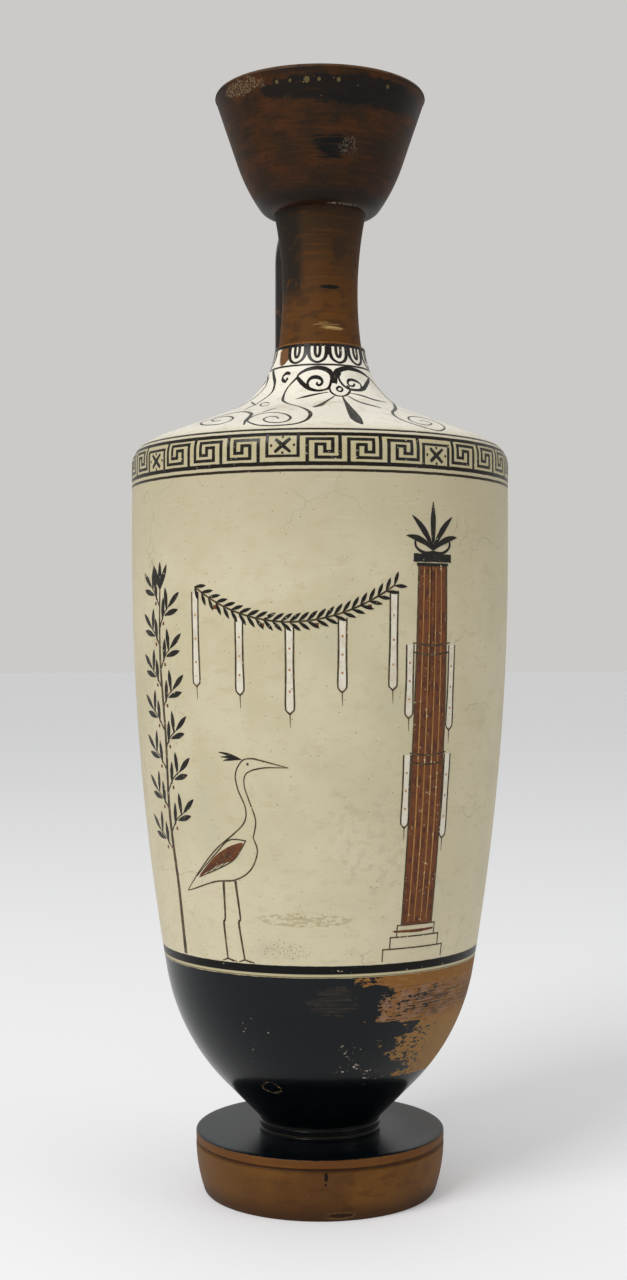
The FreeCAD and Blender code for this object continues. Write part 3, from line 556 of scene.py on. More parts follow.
def column():
    shaft, lines, edges = [], [], []
    for number in range(-3, 4):
        low, high = number / 3 * 5.6, number / 3 * 4.5
        shaft.append([(low, 98.5, 1.35), (low * 0.97, 150.0, 1.25), (high, 214.0, 1.1)])
    for share in (-0.62, -0.22, 0.2, 0.6):
        low, high = share * 6.8, share * 5.5
        lines.append([(low, 99.5, 0.16), (low * 0.98 + 0.2, 130.0, 0.26), (low * 0.95, 165.0, 0.2),
                      (high, 213.0, 0.15)])
    for side in (-1, 1):
        edges.append([(side * 6.9, 98.5, 0.3), (side * 6.5, 150.0, 0.22), (side * 5.5, 214.0, 0.28)])
    for half, low, high in ((8.6, 94.6, 98.4), (11.2, 90.8, 94.6), (14.0, 87.0, 90.8)):
        edges += bars([(-half, low), (-half, high), (half, high), (half, low)], 0.22, 0.22)
    shaft.append([(-10.0, 96.5, 0.3), (0.0, 96.3, 0.5), (8.0, 96.6, 0.3)])
    cap = [[(-7.4, 216.0, 1.3), (7.4, 216.0, 1.3)], [(-6.2, 213.9, 0.5), (6.2, 213.9, 0.5)]]
    cap += [leaf(0.0, 218.4, lean, length, 1.0, bend) for lean, length, bend in (
        (90, 15.5, 0), (68, 13.5, -14), (112, 13.5, 14), (46, 11.0, -22), (134, 11.0, 22))]
    cap += [[(0, 217.8, 0.5), (side * 3.5, 217.6, 0.5), (side * 6.4, 219.2, 0.4), (side * 6.8, 221.4, 0.35),
             (side * 5.2, 222.0, 0.3), (side * 4.9, 220.6, 0.25)] for side in (-1, 1)]
    parts = {"red": shaft, "gold": lines, "thin": edges, "black": cap, "white": []}
    for height in (187.0, 152.0):
        parts["white"].append([(-7.2, height + 0.5, 1.2), (0.0, height - 0.3, 1.4), (7.2, height + 0.6, 1.2)])
        for shift in (1.45, -1.45):
            parts["thin"].append([(-7.4, height + 0.5 + shift, 0.25), (0.0, height - 0.3 + shift, 0.3),
                                  (7.4, height + 0.6 + shift, 0.25)])
        for x, length in ((-8.3, 23.0), (8.4, 27.0)):
            for kind, strokes in sash(x, height + 1.4, length).items():
                parts[kind] += strokes
    return parts


def wading_bird():
    body = [(8.4, 40.5, 0.22), (9.8, 36.0, 0.24), (6.8, 30.0, 0.24), (0.5, 26.6, 0.24), (-8.0, 25.6, 0.24),
            (-19.0, 22.5, 0.2), (-23.0, 21.6, 0.12)]
    back = [(-23.0, 21.6, 0.12), (-15.0, 29.0, 0.22), (-7.0, 36.0, 0.24), (1.0, 41.5, 0.24),
            (5.4, 45.5, 0.22), (6.0, 50.0, 0.22), (3.4, 56.0, 0.22), (2.8, 61.0, 0.22), (5.6, 65.2, 0.22),
            (9.6, 65.8, 0.22)]
    throat = [(8.4, 40.5, 0.22), (9.6, 46.0, 0.22), (7.6, 52.0, 0.22), (5.9, 57.0, 0.2), (6.4, 60.6, 0.2),
              (9.2, 62.2, 0.2)]
    beak = [[(9.4, 65.8, 0.25), (14.0, 64.8, 0.22), (21.5, 63.0, 0.1)],
            [(9.2, 62.2, 0.22), (14.0, 63.0, 0.2), (21.5, 63.0, 0.1)]]
    wing = [[(5.6, 39.5, 0.2), (1.0, 33.6, 0.22), (-6.0, 30.0, 0.22), (-16.0, 26.5, 0.15)],
            [(5.6, 39.5, 0.2), (-1.0, 39.4, 0.2), (-7.0, 34.8, 0.2), (-17.0, 26.8, 0.12)]]
    plumes = [[(4.2, 38.6, 0.3), (0.0, 36.6 - 2.4 * i, 1.1), (-6.6, 33.4 - 1.5 * i, 0.9),
               (-15.4, 27.1 - 0.2 * i, 0.2)] for i in range(2)]
    wing += [[(1.5 - 3.0 * i, 38.2 - 1.6 * i, 0.14), (-1.5 - 3.0 * i, 33.4 - 1.3 * i, 0.16),
              (-6.5 - 2.6 * i, 29.8 - 0.8 * i, 0.1)] for i in range(3)]
    crest = [leaf(5.2, 65.4, 158 + 9 * i, 9.0 - i, 0.4, 8) for i in range(3)]
    legs = [[(0.5, 26.6, 0.5), (1.6, 14.0, 0.32), (0.8, 12.6, 0.42), (2.2, 0.6, 0.3)],
            [(-4.5, 26.0, 0.5), (-5.0, 14.0, 0.32), (-5.8, 12.4, 0.42), (-5.4, 0.6, 0.3)]]
    toes = [[(x, 0.6, 0.3), (x + reach, -0.2, 0.12)] for x in (2.2, -5.4) for reach in (4.2, 2.6, -2.6)]
    return {"thin": [body, back, throat] + wing + beak + legs + toes, "black": crest + [dot(7.4, 64.0, 0.5)],
            "red": plumes}


def laurel():
    trunk = [(0.0, 0.0, 1.0), (0.9, 22.0, 0.8), (-0.4, 46.0, 0.7), (0.8, 72.0, 0.6), (-0.3, 98.0, 0.5),
             (0.6, 121.0, 0.3)]
    leaves, stems, fruit = [], [], []
    for number in range(13):
        side = 1 if number % 2 else -1
        height = 34.0 + 6.7 * number
        reach = 8.5 - 0.3 * number
        tip = (side * reach, height + 6.5)
        stems.append([(0.2, height, 0.3), (side * reach * 0.5, height + 4.2, 0.22), (*tip, 0.15)])
        for share, lean in ((0.35, 84), (0.6, 14), (0.85, 96), (1.0, 40)):
            angle = lean if side > 0 else 180 - lean
            leaves.append(leaf(tip[0] * share, height + 6.5 * share, angle, 7.4, 0.95))
        fruit.append(dot(side * reach * 0.45, height + 1.2, 0.7))
    leaves += [leaf(0.6, 120.0, lean, 9.0, 1.0) for lean in (90, 64, 116)]
    return {"black": leaves, "thin": stems + [trunk], "red": fruit}


def garland():
    """A leafy swag with fillets hanging from it."""
    first, last = arc_mm(-52), arc_mm(7)
    span = last - first
    cord, leaves = [], []
    for number in range(25):
        share = number / 24
        x, z = first + span * share, 207.0 - 46.0 * share * (1 - share)
        cord.append((x, z, 0.3))
        lean = math.degrees(math.atan2(-46.0 * (1 - 2 * share), span))
        for side in (38, -38):
            leaves.append(leaf(x, z, lean + side, 4.6, 0.62))
    parts = {"thin": [cord], "black": leaves, "gold": [], "white": [], "red": []}
    parts["red"] += [dot(first + span * share, 205.2 - 46.0 * share * (1 - share), 0.85)
                     for share in (0.12, 0.37, 0.63, 0.88)]
    for share, length in ((0.0, 30.0), (0.25, 24.0), (0.5, 27.0), (0.75, 23.0), (1.0, 31.0)):
        for kind, strokes in sash(first + span * share, 205.4 - 46.0 * share * (1 - share), length).items():
            parts[kind] += strokes
    return parts


def picture():
    """All the picture's strokes, sorted by paint."""
    sorted_strokes = {"white": [], "red": [], "gold": [], "thin": [], "black": []}
    for parts, across, up in ((column(), arc_mm(19.5), 0.0), (wading_bird(), arc_mm(-42), 86.6),
                              (laurel(), arc_mm(-68), 86.5), (garland(), 0.0, 0.0)):
        for kind, strokes in parts.items():
            sorted_strokes[kind] += moved(strokes, across, up)
    return sorted_strokes


# Shared shader groups: places on the flask, bands, spots, patches, specks and hair cracks

def place_group():
    net, given, out = new_tree("Place on the flask", "Shader", {
        "Vector": "Vector"}, {"Height": "Float", "Turn": "Float", "Radius": "Float", "Spot": "Vector"})
    x, y, z = net.split(given["Vector"])
    turn = net.math("DEGREES", net.math("ARCTAN2", x, net.times(y, -1.0)))
    flat = net.join(x, y, 0.0)
    net.feed(out["Height"], net.times(z, 1000.0))
    net.feed(out["Turn"], turn)
    net.feed(out["Radius"], net.times(net.vector("LENGTH", flat), 1000.0))
    net.feed(out["Spot"], net.vector("SCALE", given["Vector"], scale=1000.0))
    return net.tree


def band_group():
    net, given, out = new_tree("Height band", "Shader", {
        "Height": 0.0, "Low": 0.0, "High": 1.0, "Edge": 0.1}, {"Mask": "Float"})
    sides = []
    for key in ("Low", "High"):
        first = net.minus(given[key], given["Edge"])
        last = net.plus(given[key], given["Edge"])
        sides.append(net.ramp(given["Height"], first, last))
    net.feed(out[0], net.times(sides[0], net.minus(1.0, sides[1])))
    return net.tree


def spot_group():
    net, given, out = new_tree("Ragged spot", "Shader", {
        "Height": 0.0, "Turn": 0.0, "Noise": 0.5, "At Height": 0.0, "At Turn": 0.0, "Half Height": 1.0,
        "Half Turn": 1.0, "Raggedness": 1.0}, {"Mask": "Float"})
    up = net.over(net.minus(given["Height"], given["At Height"]), given["Half Height"])
    side = net.over(net.minus(given["Turn"], given["At Turn"]), given["Half Turn"])
    far = net.vector("LENGTH", net.join(up, side, 0.0))
    rough = net.times(net.minus(given["Noise"], 0.5), given["Raggedness"])
    net.feed(out[0], net.ramp(net.plus(far, rough), 1.1, 0.85))
    return net.tree


def patch_group():
    net, given, out = new_tree("Ragged patches", "Shader", {
        "Vector": "Vector", "Scale": 0.1, "Level": 0.6, "Softness": 0.05}, {"Mask": "Float"})
    noise = net.noise(given["Vector"], given["Scale"], 6.0, 0.62)
    low = net.minus(given["Level"], given["Softness"])
    high = net.plus(given["Level"], given["Softness"])
    net.feed(out[0], net.ramp(noise, low, high))
    return net.tree


def speck_group():
    net, given, out = new_tree("Scattered specks", "Shader", {
        "Vector": "Vector", "Scale": 0.3, "Size": 0.12, "Share": 0.2}, {"Mask": "Float"})
    keys = {"Vector": given["Vector"], "Scale": given["Scale"]}
    cells = net.add("ShaderNodeTexVoronoi", keys)
    near = net.ramp(cells.outputs["Distance"], given["Size"], net.times(given["Size"], 0.5))
    chosen = net.math("LESS_THAN", net.split(cells.outputs["Color"])[0], given["Share"])
    net.feed(out[0], net.times(near, chosen))
    return net.tree


def crack_group():
    net, given, out = new_tree("Hair cracks", "Shader", {
        "Vector": "Vector", "Scale": 0.05, "Width": 0.01, "Level": 0.5}, {"Mask": "Float"})
    bent = net.add("ShaderNodeTexNoise", {"Vector": given["Vector"], "Scale": 0.06, "Detail": 3.0})
    warped = net.vector("ADD", given["Vector"], net.vector("SCALE", bent.outputs["Color"], scale=16.0))
    keys = {"Vector": warped, "Scale": given["Scale"]}
    cells = net.add("ShaderNodeTexVoronoi", keys, feature="DISTANCE_TO_EDGE")
    thin = net.ramp(cells.outputs["Distance"], given["Width"], 0.0)
    here = net.ramp(net.noise(given["Vector"], 0.025, 2.0), given["Level"], net.plus(given["Level"], 0.08))
    net.feed(out[0], net.times(thin, here))
    return net.tree


PLACE, BAND, SPOT, PATCH, SPECK, CRACK = (
    place_group(), band_group(), spot_group(), patch_group(), speck_group(), crack_group())


class Finish(Net):
    """A material painted up in layers: each layer lays a colour and a roughness over a mask."""

    def __init__(self, name, base, rough):
        self.material = bpy.data.materials.new(name)
        self.material.use_nodes = True
        super().__init__(self.material.node_tree)
        self.surface = self.tree.nodes["Principled BSDF"]
        point = self.add("ShaderNodeTexCoord").outputs["Object"]
        self.height, self.turn, self.radius, self.spot = self.call(PLACE, {"Vector": point})
        self.broad = self.noise(self.spot, 0.035, 3.0)
        self.middle = self.noise(self.spot, 0.3, 4.0)
        self.fine = self.noise(self.spot, 1.6, 4.0)
        self.color = colour(base)
        self.rough = rough

    def lay(self, mask, shade, rough=None):
        over = colour(shade) if isinstance(shade, str) else shade
        self.color = self.blend(mask, self.color, over)
        if rough is not None:
            keys = {0: mask, 2: self.rough, 3: rough}
            self.rough = self.add("ShaderNodeMix", keys, data_type="FLOAT").outputs[0]

    def veils(self, zone, *rows):
        """Thin layers in a zone; a row gives value, two levels, strength, colour and maybe roughness."""
        for value, low, high, part, *look in rows:
            veil = self.share(self.ramp(value, low, high), part)
            self.lay(veil if zone is None else self.both(zone, veil), *look)

    def both(self, *masks):
        mask = masks[0]
        for other in masks[1:]:
            mask = self.times(mask, other)
        return mask

    def share(self, mask, part):
        return self.times(mask, part)

    def lacks(self, mask):
        return self.minus(1.0, mask)

    def drawn_out(self, across, up, detail):
        """Noise with its own scale across and up the flask."""
        return self.noise(self.vector("MULTIPLY", self.spot, (across, across, up)), 1.0, detail)

    def band(self, low, high, edge=0.12, height=None):
        return self.call(BAND, {"Height": height or self.height, "Low": low, "High": high, "Edge": edge})[0]

    def place(self, height, turn, half_height, half_turn, ragged=1.5, noise=None):
        return self.call(SPOT, {"Height": self.height, "Turn": self.turn, "Noise": noise or self.middle,
                                "At Height": height, "At Turn": turn, "Half Height": half_height,
                                "Half Turn": half_turn, "Raggedness": ragged})[0]

    def patches(self, scale, level, softness):
        keys = {"Vector": self.spot, "Scale": scale, "Level": level, "Softness": softness}
        return self.call(PATCH, keys)[0]

    def specks(self, scale, size, share):
        return self.call(SPECK, {"Vector": self.spot, "Scale": scale, "Size": size, "Share": share})[0]

    def cracks(self, scale, width, level):
        return self.call(CRACK, {"Vector": self.spot, "Scale": scale, "Width": width, "Level": level})[0]

    def course(self, value, points):
        """Degrees that run straight between (height, degrees) points."""
        low, high = points[0][0], points[-1][0]
        share = self.add("ShaderNodeMapRange", {"Value": value, "From Min": low, "From Max": high}).outputs[0]
        node = self.add("ShaderNodeFloatCurve", {"Value": share})
        curve = node.mapping.curves[0]
        for number, (height, degrees) in enumerate(points):
            place = ((height - low) / (high - low), degrees / 100)
            if number in (0, len(points) - 1):
                curve.points[0 if number == 0 else -1].location = place
            else:
                curve.points.new(*place)
        for point in curve.points:
            point.handle_type = "VECTOR"
        node.mapping.update()
        return self.times(node.outputs[0], 100.0)

    def close(self, relief, depth, coat=None, specular=0.25):
        """Joins colour, roughness, relief and coat to the shader."""
        self.surface.inputs["Specular IOR Level"].default_value = specular
        self.feed(self.surface.inputs["Base Color"], self.color)
        self.feed(self.surface.inputs["Roughness"], self.rough)
        if coat is not None:
            self.feed(self.surface.inputs["Coat Weight"], coat)
            self.surface.inputs["Coat Roughness"].default_value = 0.08
        keys = {"Height": relief, "Distance": depth, "Strength": 1.0}
        self.feed(self.surface.inputs["Normal"], self.add("ShaderNodeBump", keys).outputs[0])
        return self.material


def clay_finish():
    """The whole flask's skin from foot to lip, zone by zone up the height."""
    f = Finish("painted clay", "573715", 0.5)
    waved = f.plus(f.height, f.times(f.minus(f.middle, 0.5), 0.7))
    streaks = f.drawn_out(0.05, 1.1, 4.0)
    wisps = f.drawn_out(0.09, 2.6, 3.0)
    ragged = f.drawn_out(0.16, 0.34, 5.0)
    tatter = f.drawn_out(0.45, 1.0, 4.0)
    grains = f.specks(0.5, 0.13, 0.3)

    # Side of the foot: reserved clay, orange and red-brown
    f.veils(None, (f.broad, 0.42, 0.62, 0.8, "6D4719"), (ragged, 0.48, 0.68, 0.5, "452611"),
            (f.turn, -20.0, -75.0, 0.6, "6F4C22"))
    f.lay(f.share(grains, 0.25), "A98B5C")
    f.lay(f.share(f.band(18.3, 20.6, 0.5), 0.7), "633A16")
    f.lay(f.both(f.band(16.9, 17.9, 0.35), f.lacks(f.share(f.middle, 0.5))), "301A0A")
    f.veils(None, (f.height, 8.0, 1.0, 0.75, "3B220F"))
    f.lay(f.place(15.4, -11.3, 1.5, 0.9, 1.2, f.fine), "140B06")
    f.lay(f.place(12.9, -11.5, 0.5, 0.6, 0.8, f.fine), "1C1009")
    f.lay(f.place(1.9, -4.5, 1.4, 7.0, 1.6, f.fine), "5F4426", 0.8)
    f.lay(f.place(2.1, -4.5, 0.8, 6.0, 1.2, f.fine), "2E1C10", 0.8)

    # Black gloss: deck of the foot, collar and lower body
    black = f.band(DECK, GLOSS_TOP, 0.12, waved)
    f.lay(black, f.blend(f.ramp(streaks, 0.4, 0.62), colour("03080C"), colour("070B0E")), 0.22)
    f.veils(black, (wisps, 0.5, 0.72, 0.35, "181B1A", 0.25))
    faded = f.both(f.place(74.0, -10.0, 5.0, 8.0, 1.8), f.ramp(wisps, 0.42, 0.6))
    f.lay(f.both(black, f.share(faded, 0.6)), "3A3126", 0.35)
    deck = f.band(20.4, 21.3, 0.1)
    f.veils(f.both(deck, f.ramp(f.radius, 24.0, 34.0)), (f.turn, 25.0, 80.0, 0.55, "33281A", 0.4))
    # Painted reflection: the left of the deck, towards the key light, is laid bluish grey for the sheen on its
    # gloss
    f.veils(deck, (f.turn, -40.0, -75.0, 0.35, "2D3334", 0.3))

    # Gloss worn off to the orange clay at the right: the turn where it begins, by height
    edge = f.course(f.height, (
        (44.0, 62), (46.0, 21), (49.0, 30), (52.5, 17), (57.0, 16), (60.5, 14), (62.0, 27), (65.6, 27),
        (67.0, 4), (69.0, 10), (71.0, 8), (73.5, 9), (75.5, 11), (78.2, 12), (79.4, 2.5), (82.0, 1.6)))
    jag = f.plus(f.times(f.minus(ragged, 0.5), 34.0), f.times(f.minus(tatter, 0.5), 22.0))
    inside_edge = f.ramp(f.minus(f.plus(f.turn, jag), edge), 0.0, 0.7)
    mottled = f.both(f.band(66.5, 78.0, 1.0, waved), f.lacks(f.share(f.ramp(f.turn, 30.0, 55.0), 0.65)))
    brushed = f.plus(f.times(tatter, 0.55), f.times(wisps, 0.45))
    islands = f.math("MAXIMUM", f.both(mottled, f.ramp(brushed, 0.53, 0.56)),
                     f.both(f.band(44.0, 64.0, 1.0), f.ramp(f.turn, 46.0, 30.0), f.ramp(tatter, 0.55, 0.57)))
    gone = f.both(inside_edge, f.band(44.0, GLOSS_TOP, 0.3, waved), f.lacks(islands),
                  f.ramp(f.turn, 128.0, 100.0))
    f.lay(gone, f.blend(f.ramp(f.height, 63.0, 69.0), colour("8A673C"), colour("83592B")), 0.6)
    f.veils(f.both(gone, mottled), (f.middle, 0.4, 0.6, 0.8, "8F6F5A"))
    f.veils(f.both(gone, f.band(67.0, 75.5, 2.0), f.ramp(f.turn, 12.0, 30.0)),
            (wisps, 0.42, 0.58, 1.0, "4D3826"))
    f.veils(gone, (tatter, 0.52, 0.62, 0.4, "967446"))
    flecks = 0.0
    for height, turn, tall, wide, level in ((53.5, -1.5, 7.5, 7.0, 0.635), (47.0, 10.0, 3.0, 8.0, 0.64),
                                            (59.0, -40.0, 9.0, 9.0, 0.66)):
        fleck = f.both(f.place(height, turn, tall, wide, 0.8), f.ramp(tatter, level, level + 0.02))
        flecks = f.math("MAXIMUM", flecks, fleck)
    f.lay(f.both(flecks, black), "B5AA98", 0.6)
    ring = f.math("ABSOLUTE", f.minus(f.place(42.2, -39.5, 2.1, 5.2, 1.5, tatter), 0.5))
    f.lay(f.both(f.ramp(ring, 0.4, 0.1), f.ramp(f.fine, 0.42, 0.52)), "8F7850", 0.6)
    for height, strength in ((21.9, 0.9), (24.3, 0.45)):
        line = f.both(f.band(height - 0.25, height + 0.25, 0.2), f.band(20.6, 21.4, 0.1, f.radius))
        f.veils(line, (f.fine, 0.3, 0.5, strength, "6E624C", 0.5))

    # White ground: picture field, shoulder and the band round the neck's foot
    ground = f.band(GLOSS_TOP, GROUND_TOP, 0.1, waved)
    f.lay(ground, f.blend(f.ramp(f.broad, 0.35, 0.65), colour("C2B898"), colour("CBC1A3")), 0.45)
    # The third row paints the shoulder whiter: partly a paler, less yellow ground, partly painted light
    # falling on it from above
    f.veils(ground, (f.height, 205.0, 240.0, 0.6, "B5AA8C"), (f.height, 150.0, 90.0, 0.4, "D8CEB1"),
            (f.height, 253.0, 260.0, 1.0, "EFE9DA", 0.35), (ragged, 0.53, 0.7, 0.35, "B3A683"),
            (f.broad, 0.6, 0.72, 0.35, "C5B6A0"), (f.broad, 0.42, 0.3, 0.35, "BEBBA6"),
            (f.middle, 0.56, 0.75, 0.25, "B9AB88"), (streaks, 0.58, 0.75, 0.25, "B9AE90"),
            (streaks, 0.42, 0.25, 0.25, "D6CDB3"))
    stain = f.both(ground, f.place(126.0, 4.0, 16.0, 15.0, 1.6, f.broad))
    f.veils(stain, (f.middle, 0.5, 0.6, 0.2, "97927F"))
    stain = f.both(ground, f.place(101.0, -19.0, 2.2, 15.0, 1.6, f.broad))
    f.veils(stain, (tatter, 0.46, 0.54, 0.5, "98895F"))
    f.veils(f.both(ground, f.place(91.0, -26.0, 3.5, 10.0, 1.2)), (f.fine, 0.56, 0.62, 0.5, "7D6E4C"))
    f.lay(f.both(ground, f.share(grains, 0.8)), "6B5C40")
    f.veils(ground, (f.fine, 0.67, 0.7, 0.6, "857452"))
    f.lay(f.both(ground, f.share(f.cracks(0.03, 0.006, 0.5), 0.35)), "7F7359")
    f.veils(f.band(245.0, 254.4), (f.middle, 0.65, 0.4, 0.45, "B4AA76"))
    f.lay(f.both(f.place(288.0, -62.5, 3.6, 10.0, 0.9), ground), "6E4A2B", 0.5)

    # Painted rings
    broken = f.lacks(f.share(f.ramp(tatter, 0.68, 0.72), 0.9))
    bent = f.plus(f.height, f.share(f.middle, 0.3))
    for low, high, tone in ((83.3, 86.2, "0E0D0B"), (244.5, 245.8, "1A1610"), (242.6, 243.5, "2A2317"),
                            (253.9, 255.1, "15120D"), (255.9, 256.6, "2B281F"), (283.6, 284.3, "221E18"),
                            (290.5, 291.6, "14110E")):
        f.lay(f.both(f.band(low, high, 0.12, bent), broken), tone, 0.3)
    f.lay(f.both(f.band(GLOSS_TOP, 83.3, 0.1), f.lacks(f.share(f.middle, 0.3))), "B5AB88")
    f.lay(f.band(82.2, 82.5, 0.15), "5E5232")

    # Neck: brown wash, darker above, with a dark patch and scratched lines
    neck = f.band(291.5, MOUTH_FLOOR + 0.1, 0.15)
    f.lay(neck, f.blend(f.ramp(f.height, 298.0, 336.0), colour("58350E"), colour("32200D")), 0.62)
    f.veils(neck, (streaks, 0.5, 0.78, 0.5, "683C10"), (wisps, 0.5, 0.72, 0.4, "35200E"),
            (ragged, 0.5, 0.62, 0.45, "2C1D10"))
    left = f.both(neck, f.ramp(f.turn, -34.0, -50.0), f.ramp(bent, 305.0, 313.0))
    f.veils(left, (f.middle, 0.25, 0.5, 0.95, "1E1811"))
    f.veils(neck, (f.broad, 0.55, 0.68, 0.4, "2A1C10"))
    f.lay(f.both(neck, f.share(f.place(324.0, 16.0, 4.0, 11.0, 2.4), 0.6)), "241A11")
    f.lay(f.place(311.2, 1.0, 0.7, 15.0, 1.8, f.fine), "100C08")
    f.lay(f.both(f.place(297.4, -4.0, 1.6, 26.0, 0.8), f.ramp(wisps, 0.54, 0.6)), "A88B58")
    f.veils(f.band(291.4, 292.3, 0.2), (f.fine, 0.35, 0.5, 1.0, "7E5327"))

    # Mouth: dark red-brown, softly streaked as it turned, with black and tan places
    mouth = f.math("GREATER_THAN", f.height, MOUTH_FLOOR - 0.05)
    f.lay(mouth, "301C08", 0.5)
    smudge = f.drawn_out(0.07, 0.13, 3.0)
    f.veils(mouth, (smudge, 0.44, 0.64, 0.6, "4A2608"), (streaks, 0.5, 0.75, 0.5, "522D0F"),
            (smudge, 0.48, 0.32, 0.6, "1F170E"), (wisps, 0.48, 0.7, 0.6, "1A1109"),
            (ragged, 0.52, 0.64, 0.4, "1A130C"))
    under_lip = f.both(mouth, f.place(372.6, 10.0, 4.6, 62.0, 1.2))
    f.veils(under_lip, (streaks, 0.22, 0.42, 0.9, "0F0D0B", 0.4))
    f.lay(f.both(f.band(338.4, 343.0, 1.5), f.share(mouth, 0.8)), "15110D", 0.3)
    f.veils(f.place(354.8, -6.0, 3.7, 11.0, 2.8, wisps), (streaks, 0.32, 0.45, 1.0, "090807"))
    f.veils(f.place(355.2, 5.5, 2.6, 7.0, 2.0), (f.fine, 0.5, 0.6, 0.7, "5A5142", 0.6))
    f.veils(f.place(375.8, -62.0, 2.6, 15.0, 1.4), (f.fine, 0.46, 0.58, 1.0, "6E5940", 0.6))
    for turn, size in ((-38.0, 0.6), (-30.4, 0.5), (-21.2, 1.0), (-14.5, 0.6), (-3.9, 0.7), (26.0, 0.6)):
        f.lay(f.share(f.place(374.9, turn, size, size * 1.6, 0.8, f.fine), 0.75), "6B5C38", 0.6)
    f.lay(f.both(f.place(373.5, -12.0, 3.5, 22.0, 1.0), grains), "8A7048", 0.6)
    f.veils(mouth, (f.fine, 0.69, 0.73, 0.5, "7A5C38", 0.6))
    f.veils(f.math("GREATER_THAN", f.height, 378.9), (f.middle, 0.3, 0.5, 1.0, "4E351C", 0.5))
    # Painted highlight: thin light grey glints along the joint under the mouth stand for specular glints of
    # light on it
    painted_joint_glints = f.both(f.band(338.6, 338.9, 0.15), f.ramp(f.fine, 0.5, 0.58),
                   f.place(338.8, 12.0, 3.0, 19.0, 1.0))
    f.lay(painted_joint_glints, "9C968C", 0.3)

    # Inside of chamber and cup, and the hollow under the foot
    inner = f.add("ShaderNodeAttribute", attribute_name="inner").outputs["Fac"]
    f.lay(f.both(inner, f.math("LESS_THAN", f.height, 340.0)), "7A4F2E", 0.7)
    f.lay(f.both(inner, f.math("GREATER_THAN", f.height, 340.0)), "16120F", 0.3)
    below = f.both(f.math("LESS_THAN", f.height, 9.2), f.math("LESS_THAN", f.radius, 39.0))
    f.lay(below, "7B5433", 0.7)

    relief = f.plus(f.times(f.fine, 0.6), f.times(streaks, 0.6))
    coat = f.both(black, f.lacks(deck), f.share(f.lacks(gone), 0.2))
    return f.close(relief, 0.00006, coat, 0.14)


def paint_finish(name, first, second, rough=0.32, worn="C6BB98", wear=0.66, thin=0.0):
    """Brushed paint: darker where it pooled, browner where thin, with flecks where the ground shows."""
    f = Finish(name, first, rough)
    f.lay(f.ramp(f.middle, 0.42, 0.66), second)
    f.lay(f.share(f.ramp(f.fine, 0.5, 0.8), 0.4 + thin), second)
    f.lay(f.patches(0.8, wear, 0.02), worn, 0.5)
    return f.close(f.fine, 0.00003)


def strap_finish():
    f = Finish("handle gloss", "1A120B", 0.3)
    f.lay(f.share(f.ramp(f.drawn_out(1.5, 0.12, 4.0), 0.45, 0.65), 0.7), "34251A")
    f.lay(f.patches(0.3, 0.63, 0.03), "553619", 0.5)
    f.lay(f.specks(0.6, 0.2, 0.2), "7A5A38", 0.6)
    f.lay(f.both(f.band(255.0, 268.5, 1.0), f.ramp(f.fine, 0.25, 0.5)), "1B1714", 0.3)
    return f.close(f.fine, 0.00005, 0.2)


clay = clay_finish()
strap_paint = strap_finish()
ink = paint_finish("black paint", "110F0B", "231D14")
thin_ink = paint_finish("thinned paint", "33291A", "5E4E32", 0.4, thin=0.2)
red = paint_finish("red-brown paint", "6B3C1D", "4E2919", 0.55, worn="A98A5E")
gold = paint_finish("golden paint", "9A6A33", "B58A4E", 0.5, wear=0.62)
white = paint_finish("added white", "D9D2C0", "CBC2AB", 0.6, worn="B9AB85", wear=0.64)

way = flask_outline()
outline = line_mesh("half outline", [(r * MM, 0.0, z * MM) for r, z in way.points], way.inner)
wall = grown("thrown_wall", outline, lathe_tree(), {
    "Segments": SEGMENTS, "Unevenness": 0.00012, "Throwing Marks": 0.00009, "Material": clay})


def strap_line():
    """The strap's middle line in the plane of the handle, from inside the shoulder to inside the neck."""
    points = []
    for i in range(9):
        rise = 2.2 + 37.8 * i / 8
        points.append((33.35 + (40.0 - rise) ** 2 / 300, 260.4 + rise))
    points.append((33.35, 312.0))
    points.append((33.35, 320.0))
    for i in range(8):
        turn = math.radians(114 * i / 7)
        points.append((24.8 + 8.55 * math.cos(turn), 328.2 + 8.55 * math.sin(turn)))
    points.append((16.5, 333.8))
    points.append((11.5, 331.6))
    return [(0.0, y * MM, z * MM) for y, z in points]


handle = grown("strap_handle", line_mesh("strap line", strap_line()), strap_tree(), {
    "Wall": wall, "Width": 0.017, "Thickness": 0.0061, "Smear": 0.003, "Material": strap_paint})

for piece in (wall, handle):
    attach(piece, "root")
    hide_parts("vessel")

strokes_tree = stroke_tree()


def paint(name, strokes, material, **more):
    settings = {"Wall": wall, "Material": material}
    settings.update({key.replace("_", " ").title(): value for key, value in more.items()})
    piece = grown(name, chart_mesh(name + " chart", strokes), strokes_tree, settings)
    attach(piece, "root")


paint("meander_keys", meander(), ink, waver=0.35)
paint("egg_band", egg_band(), ink, reference_radius=EGG_RADIUS * MM, step=0.0005)
paint("shoulder_scrolls", shoulder_scrolls(), ink, on_shoulder=1.0, step=0.0007, waver=0.3)

# Each paint of the picture stands a little prouder than the one under it
for (kind, strokes), material, proud in zip(picture().items(), (white, red, gold, thin_ink, ink),
                                            (0.00004, 0.000055, 0.00007, 0.000085, 0.0001)):
    paint("picture_" + kind, strokes, material, proud=proud, waver=0.4)

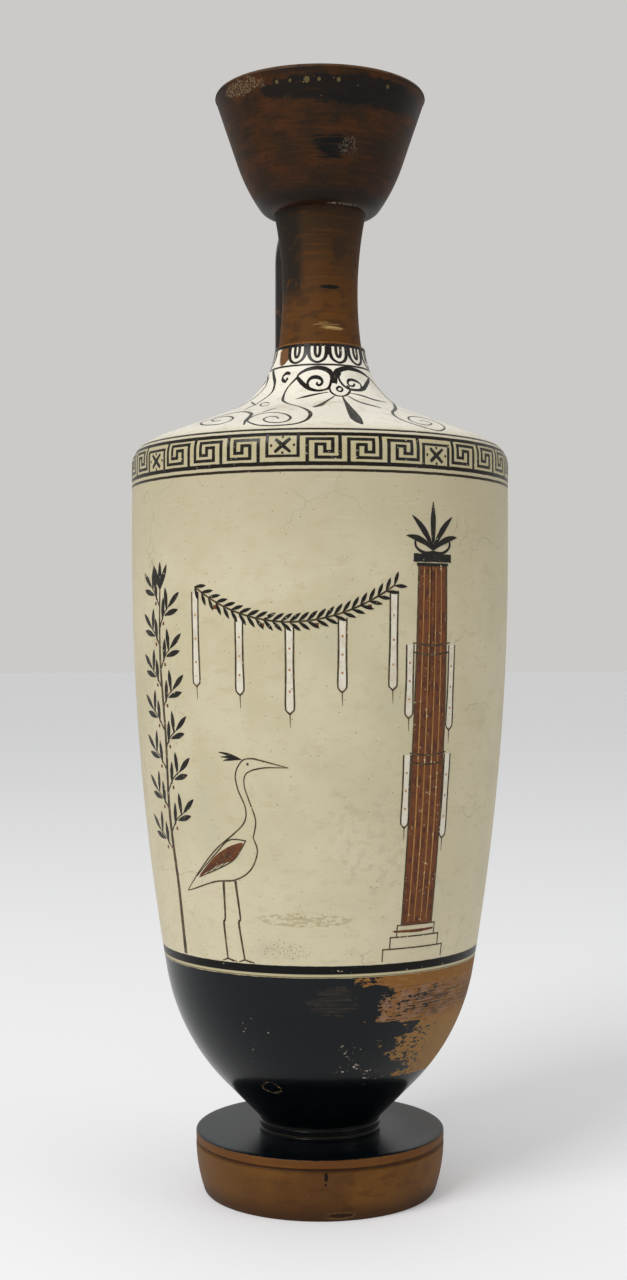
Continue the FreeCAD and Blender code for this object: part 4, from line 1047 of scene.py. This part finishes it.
floor_mesh = bpy.data.meshes.new("table")
floor_mesh.from_pydata([(-20, -20, 0), (20, -20, 0), (20, 20, 0), (-20, 20, 0)], [], [(0, 1, 2, 3)])
floor_paint = bpy.data.materials.new("pale table")
floor_paint.use_nodes = True
table_top = Net(floor_paint.node_tree)
glow = table_top.times(table_top.add("ShaderNodeLightPath").outputs["Is Camera Ray"], FLOOR_GLOW)
for key, value in (("Base Color", FLOOR_COLOUR), ("Roughness", 0.7), ("Emission Color", WHITE),
                   ("Emission Strength", glow)):
    table_top.feed(table_top.tree.nodes["Principled BSDF"].inputs[key], value)
floor_mesh.materials.append(floor_paint)
floor = bpy.data.objects.new("table", floor_mesh)
bpy.context.scene.collection.objects.link(floor)

camera_data = bpy.data.cameras.new("camera")
camera_data.lens = FOCAL_LENGTH / PICTURE_HEIGHT * SENSOR
camera_data.sensor_width = SENSOR
camera_data.shift_x, camera_data.shift_y = (pixels / PICTURE_HEIGHT for pixels in SHIFT)
camera = bpy.data.objects.new("camera", camera_data)
bpy.context.scene.collection.objects.link(camera)
turn = math.radians(VIEW_TURN)
camera.location = (math.sin(turn) * EYE_DISTANCE, -math.cos(turn) * EYE_DISTANCE, EYE_HEIGHT)
camera.rotation_euler = (math.pi / 2, 0, turn)
bpy.context.scene.camera = camera

world = bpy.data.worlds.new("studio")
bpy.context.scene.world = world
world.use_nodes = True
air = Net(world.node_tree)
seen = air.add("ShaderNodeBackground", {"Color": BACKDROP})
lit = air.add("ShaderNodeBackground", {"Color": WHITE, "Strength": SKY})
path = air.add("ShaderNodeLightPath").outputs["Is Camera Ray"]
mixed = air.add("ShaderNodeMixShader", {0: path, 1: lit.outputs[0], 2: seen.outputs[0]})
air.feed(air.tree.nodes["World Output"].inputs["Surface"], mixed.outputs[0])


def softbox(name, spot, side, power):
    """A square soft lamp that faces the middle of the flask."""
    lamp = bpy.data.lights.new(name, "AREA")
    lamp.shape = "RECTANGLE"
    lamp.size = lamp.size_y = side
    lamp.energy = power
    holder = bpy.data.objects.new(name, lamp)
    bpy.context.scene.collection.objects.link(holder)
    holder.location = spot
    away = Vector((0.0, 0.0, 0.2)) - Vector(spot)
    holder.rotation_euler = away.to_track_quat("-Z", "Y").to_euler()


softbox("key light", (-1.2, -0.9, 1.55), 0.9, 22.0)
softbox("fill light", (1.3, -1.2, 0.9), 0.9, 3.0)
bpy.context.scene.view_settings.view_transform = "Standard"
